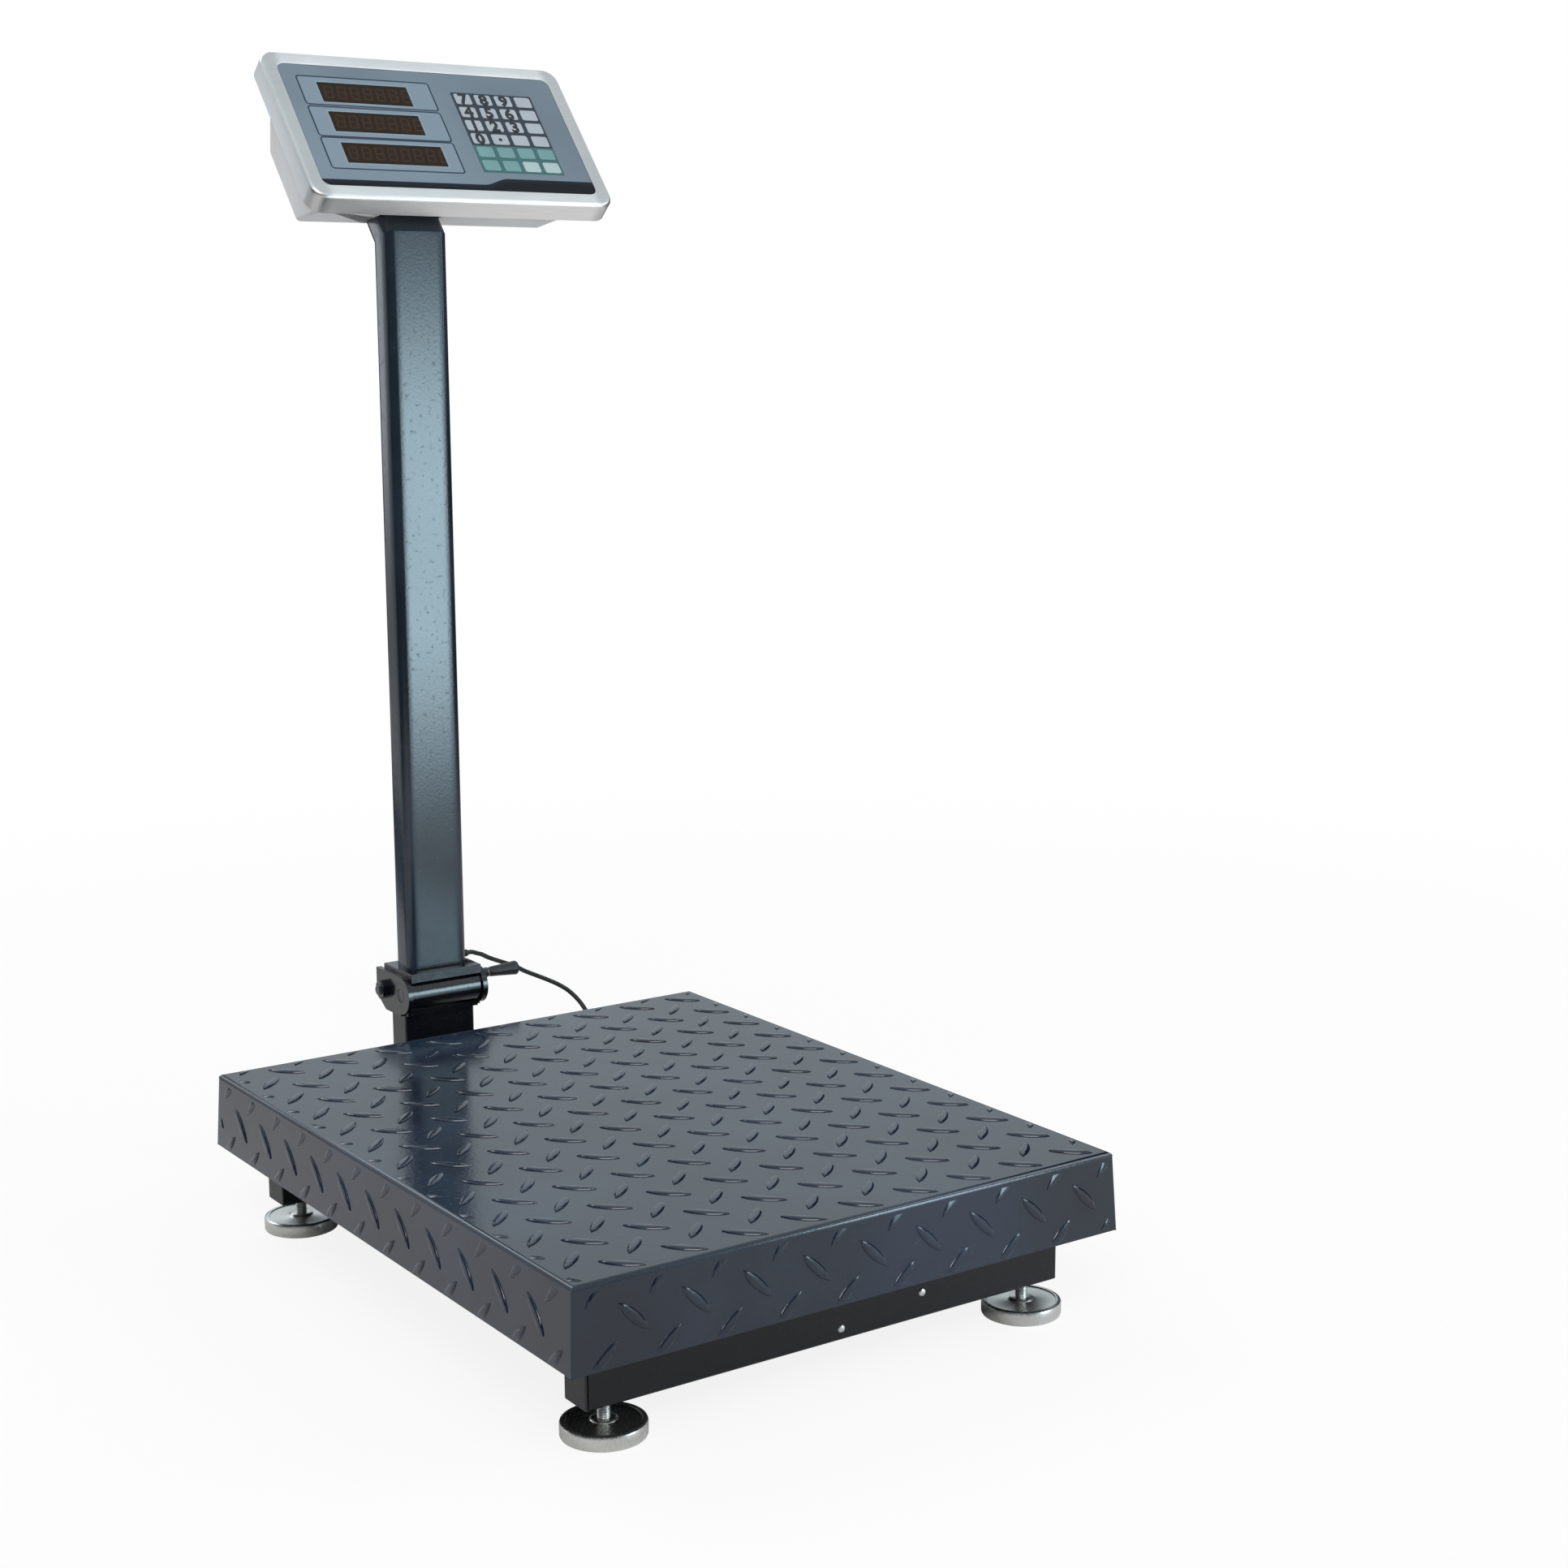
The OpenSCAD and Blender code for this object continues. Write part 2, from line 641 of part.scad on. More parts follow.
// Two cheeks and a barrel on the pin under a foot plate. A slot that follows the swing
// lets the cheeks lift off the lock bolt.
module column_foot() color([0.05, 0.06, 0.07]) at_pin() difference() {
    union() {
        for (sx = [0, 1]) mirror([sx, 0, 0])
            plate_yz(knuckle_half - knuckle_t, knuckle_half) cheek_outline();
        rod_x(barrel_r, -knuckle_half, knuckle_half);
        translate([-knuckle_half, -knuckle_front, barrel_r - 1])
            cube([2 * knuckle_half, knuckle_front + knuckle_back, foot_plate_t + 1]);
    }
    rod_x(pin_r + bush_wall + fit / 2, -far, far);
    translate([-far, 0, 0]) rotate([90, 0, 90]) {
        translate([lock_back, 0]) cylinder(r = lock_r + slot_gap + fit, h = 2 * far);
        rotate(-50) rotate_extrude(angle = 50) translate([lock_back - lock_r - slot_gap, 0])
            square([2 * (lock_r + slot_gap), 2 * far]);
    }
}

// Bronze bushes at the barrel's ends
module pivot_bushes() color([0.7, 0.55, 0.3]) at_pin() for (sx = [0, 1]) mirror([sx, 0, 0])
    difference() {
        rod_x(pin_r + bush_wall, knuckle_half - bush_l, knuckle_half);
        rod_x(pin_r + fit, -far, far);
    }

module tube_outline() difference() {
    round_rect(col_w, col_d, col_corner);
    round_rect(col_w - 2 * col_wall, col_d - 2 * col_wall, col_corner - col_wall);
}

// The hole for the cable, low in the column's right side
module at_cable_hole() translate([col_w / 2, col_front + col_d / 2, col_foot + cable_hole_rise])
    rotate([0, 90, 0]) children();

// Everything above the mitre plane, in the frame of the neck's foot before its tilt
module above_mitre() rotate([-head_tilt / 2, 0, 0]) translate([-far, -far, 0]) cube(2 * far);

module column_tube() color([0.08, 0.1, 0.12]) placed() difference() {
    translate([0, col_front + col_d / 2, col_foot]) linear_extrude(col_len) tube_outline();
    translate([0, col_front, col_top]) above_mitre();
    at_cable_hole() translate([0, 0, -2 * col_wall]) cylinder(r = cable_r + 1, h = 3 * col_wall);
}

// The tapered grommet where the cable goes into the column, closed where the cable meets it
module column_grommet() color([0.03, 0.03, 0.03]) placed() at_cable_hole() difference() {
    union() {
        cylinder(r1 = cable_r + 1.7, r2 = cable_r + 0.8, h = grommet_l);
        translate([0, 0, -2]) cylinder(r = cable_r + 0.9, h = 2 + eps);
    }
    translate([0, 0, -3]) cylinder(r = cable_r, h = grommet_l);
}

module neck_tube() color([0.08, 0.1, 0.12]) at_neck() difference() {
    translate([0, col_d / 2, -col_d]) linear_extrude(neck_len + col_d) tube_outline();
    rotate([head_tilt / 2, 0, 0]) translate([-far, -far, -2 * far]) cube(2 * far);
}

// ---------- indicator ----------

// Bosses of the rear shell that the head plate is screwed to: x from the column, z up the neck
plate_half = 33;
plate_edge = 7;
plate_h = 40;
plate_z = [36, 58];
head_plate_t = 3;
battery_left = neck_x + plate_half + plate_edge;
module each_boss() for (sx = [-1, 1], z = plate_z) translate([sx * plate_half, 0, z])
    rotate([-90, 0, 0]) children();

module head_plate() color([0.6, 0.61, 0.63]) at_neck() difference() {
    translate([0, -head_plate_t, (plate_z[0] + plate_z[1]) / 2]) rotate([-90, 0, 0])
        linear_extrude(head_plate_t) square([2 * (plate_half + plate_edge), plate_h], center = true);
    translate([0, -far, 0]) each_boss() cylinder(r = screw_r + bolt_gap, h = 2 * far);
}

module head_plate_screws() color([0.75, 0.76, 0.78]) at_neck() each_boss() {
    translate([0, 0, -head_plate_t]) cylinder(r = screw_r, h = head_plate_t + 10);
    translate([0, 0, -head_plate_t - 2]) cylinder(r = 4, h = 2);
}

// Turns a depth-and-height outline into a block across the head
module across(from, to) translate([from, 0, 0]) rotate([90, 0, 90]) linear_extrude(to - from)
    children();

// Moves each side of a convex outline inwards and joins them again
function turn_in(p, i, t) = let (d = unit(p[(i + 1) % len(p)] - p[i])) [-d.y, d.x] * t;
function meet(a, u, b, v) = let (k = (b - a).x * v.y - (b - a).y * v.x) a + u * k / (u.x * v.y - u.y * v.x);
function inset(p, t) = [for (i = [0:len(p) - 1]) let (
        n = len(p), h = (i + n - 1) % n,
        into = p[i] - p[h], out = p[(i + 1) % n] - p[i]
    ) meet(p[h] + turn_in(p, h, t), into, p[i] + turn_in(p, i, t), out)];

// Places of the screws that hold the two shells together
shell_screw_places = [
    [-head_w / 2 + 18, head_h / 2 - 6.5], [0, head_h / 2 - 6.5], [head_w / 2 - 18, head_h / 2 - 6.5],
    [head_w / 2 - 16, -head_h / 2 + 18]
];
module each_shell_screw() for (p = shell_screw_places) translate([p.x, 0, p.y])
    rotate([-90, 0, 0]) children();

// The light grey rear shell: a flange inside the tray and a deep box with sloped ends
module rear_shell() color([0.82, 0.83, 0.83]) union() {
    at_head() difference() {
        inner = inset(rear_profile, shell_wall);
        union() {
            across(rear_left, rear_right) polygon(rear_profile);
            translate([0, tray_d, 0]) rotate([90, 0, 0]) linear_extrude(flange_t)
                round_rect(head_w - 2 * tray_wall - 2 * flange_gap,
                           head_h - 2 * tray_wall - 2 * flange_gap, tray_corner - tray_wall);
        }
        across(rear_left + shell_wall, rear_right - shell_wall) polygon([
            [0, inner[0].y], inner[0], inner[1], inner[2], inner[3], [0, inner[3].y]
        ]);
        translate([neck_x - col_w / 2 - gap, neck_depth - gap, -head_h])
            cube([col_w + 2 * gap, col_d + 2 * gap, head_h]);
        translate([rear_right, switch_d, switch_z])
            cube([2 * switch_depth, switch_w + 2 * bolt_gap, switch_l + 2 * bolt_gap], center = true);
        translate([rear_right, switch_d, socket_z]) rotate([0, 90, 0])
            cylinder(r = socket_r + bolt_gap, h = 2 * switch_depth, center = true);
        each_shell_screw() cylinder(r = 1.5 + bolt_gap, h = 2 * tray_d);
    }
    at_neck() each_boss() difference() {
        cylinder(r = boss_r, h = col_d + gap + eps);
        cylinder(r = screw_r + bolt_gap, h = 12);
    }
}

module shell_screws() color([0.75, 0.76, 0.78]) at_head() each_shell_screw() {
    translate([0, 0, tray_front + 4]) cylinder(r = 1.5, h = tray_d - tray_front - 4 + eps);
    translate([0, 0, tray_d]) cylinder(r = 3, h = 1.6);
}

// A window's opening or pane, from one depth to another
module window_block(k, d0, d1, grow) {
    w = k == 2 ? wide_window_w : window_w;
    x = k == 2 ? window_x + (wide_window_w - window_w) / 2 : window_x;
    translate([x - w / 2 - grow, d0, window_rows[k] - window_h / 2 - grow])
        cube([w + 2 * grow, d1 - d0, window_h + 2 * grow]);
}

// The stainless front shell: a round-cornered tray with a recess for the panel
module front_shell() color([0.78, 0.78, 0.76]) at_head() {
    difference() {
        translate([0, tray_d, 0]) rotate([90, 0, 0]) linear_extrude(tray_d)
            round_rect(head_w, head_h, tray_corner);
        translate([0, tray_d + 1, 0]) rotate([90, 0, 0]) linear_extrude(tray_d + 1 - tray_front)
            round_rect(head_w - 2 * tray_wall, head_h - 2 * tray_wall, tray_corner - tray_wall);
        translate([-panel_w / 2 - gap, -1, -panel_h / 2 - gap])
            cube([panel_w + 2 * gap, panel_back + 1, panel_h + 2 * gap]);
        for (k = [0:2]) window_block(k, 0, tray_d, gap);
    }
    each_shell_screw() difference() {
        translate([0, 0, tray_front - eps]) cylinder(r = 4, h = tray_d - flange_t - tray_front);
        translate([0, 0, tray_front + 1]) cylinder(r = 1.5 + fit, h = tray_d);
    }
    for (sx = [-1, 1], sz = [-1, 1]) translate([sx * standoff_x, 0, sz * standoff_z]) rotate([-90, 0, 0])
        translate([0, 0, tray_front - eps]) cylinder(r = standoff_r, h = board_d - tray_front + eps);
}

module front_panel() color([0.5, 0.57, 0.63]) at_head() difference() {
    translate([-panel_w / 2, panel_sink, -panel_h / 2]) cube([panel_w, panel_t, panel_h]);
    for (k = [0:2]) window_block(k, 0, tray_d, gap);
}

module window_pane(k) color([0.16, 0.1, 0.07]) at_head()
    window_block(k, panel_sink, panel_sink + window_t, 0);
module upper_window() window_pane(0);
module middle_window() window_pane(1);
module lower_window() window_pane(2);

// Digit modules on the board, one behind each window
module display_modules() color([0.1, 0.1, 0.1]) at_head() for (k = [0:2])
    window_block(k, tray_front + gap, board_d, -1);

module main_board() color([0.05, 0.3, 0.15]) at_head()
    translate([-board_w / 2, board_d, -board_h / 2]) cube([board_w, board_t, board_h]);

// The rechargeable battery, beside the neck against the rear wall
module battery() color([0.15, 0.15, 0.17]) at_head()
    translate([battery_left, rear_d - shell_wall - battery_d, battery_low])
        cube([rear_right - switch_depth - battery_room - shell_wall - battery_left, battery_d, battery_h]);

// Keys of the membrane keypad, from one row to another
module keys(first, last) {
    translate([0, panel_sink, 0]) rotate([90, 0, 0]) for (row = [first:last], column = [0:key_columns - 1])
        translate([key_x + (column - (key_columns - 1) / 2) * key_pitch_x,
                   key_z - (row - (key_rows - 1) / 2) * key_pitch_y, 0]) {
            linear_extrude(key_sheet_t) square([key_pitch_x, key_pitch_y], center = true);
            linear_extrude(key_sheet_t + key_dome_t) round_rect(key_w, key_h, 1.5);
        }
}
module plain_keys() color([0.8, 0.83, 0.85]) at_head() keys(0, plain_rows - 1);
module tinted_keys() color([0.45, 0.72, 0.68]) at_head() keys(plain_rows, key_rows - 1);

// ---------- switch and socket ----------

module at_switch() at_head() translate([rear_right, switch_d, switch_z]) children();

// The frame: a flange on the wall and a pocket that the rocker tips in
module switch_frame() color([0.05, 0.05, 0.05]) at_switch() difference() {
    union() {
        translate([flange_out / 2, 0, 0]) cube([flange_out, switch_w + 3, switch_l + 3], center = true);
        translate([-switch_depth / 2 + eps, 0, 0]) cube([switch_depth, switch_w, switch_l], center = true);
    }
    translate([0, 0, 0]) cube([2 * (switch_depth - 2), rocker_w + 2 * gap, rocker_l + 1], center = true);
    rotate([90, 0, 0]) cylinder(r = rocker_pin_r + fit, h = switch_w - 1, center = true);
}

// The rocker: two faces that meet in a shallow V, on a pin along the head's depth
module power_rocker() color([0.7, 0.08, 0.06]) at_switch() rotate([0, -rocker_swing, 0]) {
    half = rocker_l / 2 - 0.3;
    rotate([90, 0, 0]) linear_extrude(rocker_w, center = true) polygon([
        [1.6, 0], [2.2, half], [-2, half], [-5, 2], [-5, -2], [-2, -half], [2.2, -half]
    ]);
    rotate([90, 0, 0]) cylinder(r = rocker_pin_r, h = 11.6, center = true);
}

module charger_socket() color([0.05, 0.05, 0.05]) at_head()
    translate([rear_right, switch_d, socket_z]) rotate([0, 90, 0]) difference() {
        union() {
            translate([0, 0, -11]) cylinder(r = socket_r, h = 11 + eps);
            cylinder(r = socket_r + 1.5, h = flange_out);
        }
        translate([0, 0, -9]) cylinder(r = 2.8, h = far);
        translate([0, 0, -12]) cylinder(r = 1, h = 2);
    }

// ---------- lock bolt ----------

module at_lock() at_pin() translate([0, lock_back, 0]) children();
lock_out = ear_out + gap + lock_collar_t;
grip_start = ear_out + lock_shank;

module lock_bolt() color([0.1, 0.1, 0.11]) at_lock() {
    rod_x(lock_r, -ear_out - lock_nut_t - lock_end, grip_start);
    rod_x(lock_collar_r, ear_out + gap, lock_out);
    rod_x(lock_r / 2, grip_start - eps, grip_start + grip_l / 2);
}

// The tapered grip, thin where it meets the shank
module lock_grip() color([0.03, 0.03, 0.03]) at_lock() translate([grip_start, 0, 0])
    rotate([0, 90, 0]) rotate_extrude() polygon([
        [lock_r / 2 + fit, 0], [lock_r - 0.2, 0], [grip_r, grip_l - 2], [grip_r - 1.5, grip_l],
        [0, grip_l], [0, grip_l / 2 + gap], [lock_r / 2 + fit, grip_l / 2 + gap]
    ]);

front_beam();
rear_beam();
left_rail();
right_rail();
beam_caps();
column_arm();
column_post();
hinge_bracket();
hinge_pin();
lock_nut();
foot_nuts();
cell_base_plate();
cell_spacers();
load_cell();
cell_bolts();
cell_top_plate();
overload_stops();
frame_left_tube();
frame_right_tube();
frame_end_tubes();
frame_middle_tubes();
platform_pads();
platform_plate();
tread_bars();
cable_gland();
data_cable();
column_foot();
pivot_bushes();
column_tube();
column_grommet();
neck_tube();
head_plate();
head_plate_screws();
rear_shell();
shell_screws();
front_shell();
front_panel();
upper_window();
middle_window();
lower_window();
display_modules();
main_board();
battery();
plain_keys();
tinted_keys();
charger_socket();
switch_frame();
power_rocker();
lock_bolt();
lock_grip();
foot_disc_front_left();
foot_disc_front_right();
foot_disc_rear_left();
foot_disc_rear_right();
foot_stud_front_left();
foot_stud_front_right();
foot_stud_rear_left();
foot_stud_rear_right();
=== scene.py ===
"""Finishes, rounded visible pieces, cable and studio of a folding-column platform scale.

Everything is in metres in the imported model's own frame: +X to the right, +Y to the back, +Z up.
"""
import json
import math

import bmesh
import bpy
from mathutils import Matrix, Vector


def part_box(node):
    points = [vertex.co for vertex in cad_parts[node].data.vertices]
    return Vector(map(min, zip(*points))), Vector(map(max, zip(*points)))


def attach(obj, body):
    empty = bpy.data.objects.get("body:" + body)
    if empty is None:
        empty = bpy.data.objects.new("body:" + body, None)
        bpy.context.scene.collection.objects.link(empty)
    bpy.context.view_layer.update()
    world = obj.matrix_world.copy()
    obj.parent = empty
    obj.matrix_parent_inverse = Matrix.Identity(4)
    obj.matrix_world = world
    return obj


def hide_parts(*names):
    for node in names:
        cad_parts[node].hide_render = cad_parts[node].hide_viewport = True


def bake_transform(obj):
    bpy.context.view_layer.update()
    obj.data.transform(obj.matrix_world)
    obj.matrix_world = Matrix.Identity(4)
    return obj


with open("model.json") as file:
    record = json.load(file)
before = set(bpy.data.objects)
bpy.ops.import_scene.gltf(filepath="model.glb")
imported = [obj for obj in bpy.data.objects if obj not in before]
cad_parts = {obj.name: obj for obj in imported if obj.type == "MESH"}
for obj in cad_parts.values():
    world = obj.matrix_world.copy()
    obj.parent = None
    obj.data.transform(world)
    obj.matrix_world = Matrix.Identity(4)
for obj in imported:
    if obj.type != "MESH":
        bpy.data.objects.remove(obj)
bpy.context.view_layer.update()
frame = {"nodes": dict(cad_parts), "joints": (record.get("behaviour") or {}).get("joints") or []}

bl_info = {
    "name": "Platform scale finishes",
    "version": (1, 0, 0),
    "blender": (4, 5, 0),
    "location": "3D View > Sidebar > Scale",
    "description": "Builds the rounded pieces, finishes and studio of a folding-column platform scale",
    "category": "Object",
}

MM = 0.001

# ---------- places taken from the frame ----------

JOINTS = {joint["name"]: joint for joint in frame["joints"]}
LOCK = Vector(JOINTS["lock_turn"]["pos_m"])
DEPTH_AXIS = Vector(JOINTS["rocker_tip"]["axis"])
TILT = math.atan2(-DEPTH_AXIS.z, DEPTH_AXIS.y)
LOCK_RADIUS = 4 * MM
PANEL_SINK = 0.6 * MM
PANEL_THICK = 1 * MM
WINDOWS = ("upper_window", "middle_window", "lower_window")


def middle(node):
    """The middle of a node's box."""
    low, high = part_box(node)
    return (low + high) / 2


# The indicator's own frame: x across, y into its depth from the rim, z up its face.
FACE_TURN = Matrix.Rotation(-TILT, 4, "X")
FACE_MIDDLE = middle("front_panel") - DEPTH_AXIS * (PANEL_SINK + PANEL_THICK / 2)
FACE = Matrix.Translation(FACE_MIDDLE) @ FACE_TURN
PLATFORM_MIDDLE = middle("platform_plate")
FEET = ["front_left", "front_right", "rear_left", "rear_right"]


# ---------- sizes and colours that a user may change ----------


def size_property(name, description, default):
    """A length with its name and description."""
    return bpy.props.FloatProperty(
        name=name, description=description, default=default, unit="LENGTH")


class ScaleSizes(bpy.types.PropertyGroup):
    """Sizes of the visible details."""

    bend_radius: size_property("Bend radius", "Outer radius of the platform sheet's bends", 3 * MM)
    tube_corner: size_property("Tube corner", "Outer radius of the base's box tubes", 2.5 * MM)
    bar_length: size_property("Tread bar length", "Length of one raised bar", 29 * MM)
    bar_width: size_property("Tread bar width", "Width of one raised bar at its middle", 7 * MM)
    bar_height: size_property("Tread bar height", "Height of the bars above the sheet", 1.2 * MM)
    bar_pitch: size_property("Tread pitch", "Spacing of the bars along and across", 42 * MM)
    rim_radius: size_property("Rim radius", "Radius round the indicator's front shell", 3.2 * MM)
    thread_pitch: size_property("Thread pitch", "Pitch on the feet and the lock bolt", 1.25 * MM)


def colour_property(name, description, default):
    """A colour with its name and description."""
    return bpy.props.FloatVectorProperty(
        name=name, description=description, default=default, subtype="COLOR", size=3, min=0, max=1)


class ScaleColours(bpy.types.PropertyGroup):
    """Colours of the finishes, in linear light."""

    enamel: colour_property("Enamel", "Paint of the base and the hinge", (0.004, 0.0045, 0.0065))
    tread: colour_property("Tread enamel", "Paint of the platform", (0.006, 0.012, 0.025))
    column: colour_property("Column enamel", "Paint of the column", (0.010, 0.017, 0.026))
    stainless: colour_property("Stainless", "Front shell of the indicator", (0.76, 0.755, 0.75))
    zinc: colour_property("Zinc", "Plated screws, feet and stops", (0.60, 0.60, 0.58))
    shell: colour_property("Rear shell", "Light grey rear shell", (0.58, 0.59, 0.60))
    panel: colour_property("Panel film", "Blue-grey film on the indicator", (0.150, 0.200, 0.245))
    print: colour_property("Panel print", "Dark lines and band on the film", (0.008, 0.013, 0.021))
    window: colour_property("Window", "Dark brown display filter", (0.020, 0.012, 0.007))
    key: colour_property("Plain key", "Pale keys", (0.33, 0.38, 0.43))
    tinted: colour_property("Tinted key", "Pale teal keys", (0.13, 0.27, 0.28))


# ---------- shader arithmetic ----------


class Num:
    """A number that varies from place to place. Arithmetic on it adds Math nodes."""

    def __init__(self, nodes, socket):
        self.nodes = nodes
        self.socket = socket

    def __add__(self, other):
        return self.nodes.math("ADD", self, other)

    def __sub__(self, other):
        return self.nodes.math("SUBTRACT", self, other)

    def __rsub__(self, other):
        return self.nodes.math("SUBTRACT", other, self)

    def __mul__(self, other):
        return self.nodes.math("MULTIPLY", self, other)

    def __abs__(self):
        return self.nodes.math("ABSOLUTE", self)

    __radd__ = __add__

    def at_least(self, other):
        """The larger of the two."""
        return self.nodes.math("MAXIMUM", self, other)

    def at_most(self, other):
        """The smaller of the two."""
        return self.nodes.math("MINIMUM", self, other)

    def rise(self, low, high, bottom=0.0, top=1.0):
        """The bottom value below low, the top value above high, and smooth between them."""
        return self.nodes.node("ShaderNodeMapRange", {"interpolation_type": "SMOOTHSTEP"},
                               {0: self, 1: low, 2: high, 3: bottom, 4: top})

    def fall(self, low, high):
        """1 below low, 0 above high, and smooth between them."""
        return 1 - self.rise(low, high)


class Nodes:
    """A node tree, with one way to make and link its nodes."""

    def __init__(self, tree):
        self.tree = tree

    def node(self, kind, settings=None, values=None, out=0):
        """Makes a node from its type, its settings and the values or links of its sockets."""
        node = self.tree.nodes.new(kind)
        for key, value in (settings or {}).items():
            setattr(node, key, value)
        for key, value in (values or {}).items():
            self.feed(node.inputs[key], value)
        return Num(self, node.outputs[out])

    def feed(self, socket, value):
        """Links a socket to a pattern, or sets it to a plain value."""
        value = value.socket if isinstance(value, Num) else value
        if isinstance(value, bpy.types.NodeSocket):
            self.tree.links.new(value, socket)
        elif socket.type == "RGBA" and len(value) == 3:
            socket.default_value = (*value, 1)
        else:
            socket.default_value = value

    def math(self, operation, a, b=0.0):
        """One Math node."""
        return self.node("ShaderNodeMath", {"operation": operation}, {0: a, 1: b})

    def root(self, a, b):
        """The length of the vector with these two parts."""
        return self.math("SQRT", a * a + b * b)

    def mix(self, a, b, share):
        """Colour a where share is 0, and b where it is 1."""
        return self.node("ShaderNodeMix", {"data_type": "RGBA"}, {0: share, 6: a, 7: b}, out=2)

    def mix_shaders(self, a, b, share):
        """Shader a where share is 0, and b where it is 1."""
        return self.node("ShaderNodeMixShader", {}, {0: share, 1: a, 2: b})


class Surface(Nodes):
    """A procedural finish that reads the piece's own coordinates."""

    def __init__(self, name, **constants):
        self.material = bpy.data.materials.new(name)
        self.material.use_nodes = True
        super().__init__(self.material.node_tree)
        self.shader = self.tree.nodes["Principled BSDF"]
        for socket, value in constants.items():
            self.shader.inputs[socket.replace("_", " ")].default_value = value
        self.place = self.node("ShaderNodeTexCoord", out="Object").socket

    def noise(self, scale, detail=2.0, stretch=(1, 1, 1)):
        """Smooth noise from about 0.3 to 0.7, with scale features per metre."""
        at = self.node("ShaderNodeMapping", {}, {"Vector": self.place, "Scale": stretch})
        return self.node("ShaderNodeTexNoise", {}, {"Vector": at, "Scale": scale, "Detail": detail})

    def specks(self, scale, size):
        """1 inside scattered round specks, 0 elsewhere."""
        near = self.node("ShaderNodeTexVoronoi", {}, {"Vector": self.place, "Scale": scale})
        return near.fall(size * 0.6, size)

    def turned(self, matrix):
        """The three coordinates in the frame of a matrix, as numbers."""
        at = self.node("ShaderNodeMapping", {"vector_type": "TEXTURE"}, {
            "Vector": self.place,
            "Location": matrix.to_translation(),
            "Rotation": matrix.to_euler(),
        })
        apart = self.node("ShaderNodeSeparateXYZ", {}, {0: at})
        return [Num(self, apart.socket.node.outputs[k]) for k in range(3)]

    def bump(self, height, depth):
        """Feeds the shader's normal from a height pattern that is depth metres deep."""
        self.feed(self.shader.inputs["Normal"], self.node(
            "ShaderNodeBump", {}, {"Height": height, "Distance": depth, "Strength": 1.0}))

    def show(self, shader):
        """Feeds the material's output from a shader other than the plain one."""
        self.feed(self.tree.nodes["Material Output"].inputs["Surface"], shader)

    def glow(self, colour, strength):
        """A shader that shines by itself."""
        return self.node("ShaderNodeEmission", {}, {"Color": colour, "Strength": strength})

    def colour(self, value):
        """Feeds the base colour."""
        self.feed(self.shader.inputs["Base Color"], value)

    def roughness(self, value):
        """Feeds the roughness."""
        self.feed(self.shader.inputs["Roughness"], value)


def shade(colour, factor):
    """The same colour, lighter or darker."""
    return tuple(min(1.0, channel * factor) for channel in colour)


def rounded_box_distance(x, z, centre, half, radius):
    """Distance from a round-cornered rectangle: below 0 inside it, above 0 outside."""
    dx = abs(x - centre[0]) - (half[0] - radius)
    dz = abs(z - centre[1]) - (half[1] - radius)
    outside = x.nodes.root(dx.at_least(0), dz.at_least(0))
    return outside + dx.at_least(dz).at_most(0) - radius


# ---------- finishes ----------


def enamel(name, colour, roughness, peel, shine=0.5):
    """Gloss enamel: a slight orange peel, thin dust and a few fine pits."""
    surface = Surface(name, IOR=1.5, Specular_IOR_Level=shine)
    cloud = surface.noise(9, 4)
    dust = surface.noise(260, 6)
    surface.colour(surface.mix(shade(colour, 0.75), shade(colour, 1.6), cloud.rise(0.35, 0.7)))
    surface.roughness(roughness + cloud * 0.08 + dust.rise(0.55, 0.75) * 0.12)
    waves = surface.noise(420, 1)
    surface.bump(waves + surface.specks(160, 0.05) * 0.4, peel)
    return surface.material


def grained(name, roughness, stretch):
    """A metal surface with a fine grain along one way, and its mottle from 0 to 1."""
    surface = Surface(name, Metallic=1.0, IOR=2.0)
    grain = surface.noise(900, 3, stretch)
    cloud = surface.noise(28, 3)
    surface.roughness(roughness + grain * 0.16 + cloud * 0.08)
    surface.bump(grain, 0.02 * MM)
    return surface, grain * 0.6 + cloud * 0.4


def plated(name, colour, roughness, stretch):
    """Plated or brushed steel."""
    surface, mottle = grained(name, roughness, stretch)
    surface.colour(surface.mix(shade(colour, 0.82), shade(colour, 1.12), mottle))
    return surface.material


def brushed_tray(name, colour, roughness, stretch):
    """Satin stainless sheet, with painted shade that darkens its two ends."""
    shade_from, shade_to = 106 * MM, 114 * MM
    surface, mottle = grained(name, roughness, stretch)
    x, _, _ = surface.turned(FACE)
    plain = surface.mix(shade(colour, 0.84), shade(colour, 1.14), mottle)
    # Painted shade: the colour turns darker towards the tray's two ends.
    painted_shade = surface.mix(shade(colour, 0.62), shade(colour, 0.84), mottle)
    surface.colour(surface.mix(plain, painted_shade, abs(x).rise(shade_from, shade_to)))
    return surface.material


def moulded(name, colour, roughness, texture=0.03 * MM):
    """Moulded plastic or rubber with a fine spark texture."""
    surface = Surface(name, IOR=1.47)
    spark = surface.noise(1700, 2)
    cloud = surface.noise(22, 3)
    surface.colour(surface.mix(shade(colour, 0.95), shade(colour, 1.04), cloud.rise(0.3, 0.7)))
    surface.roughness(roughness + spark * 0.12)
    surface.bump(spark, texture)
    return surface.material


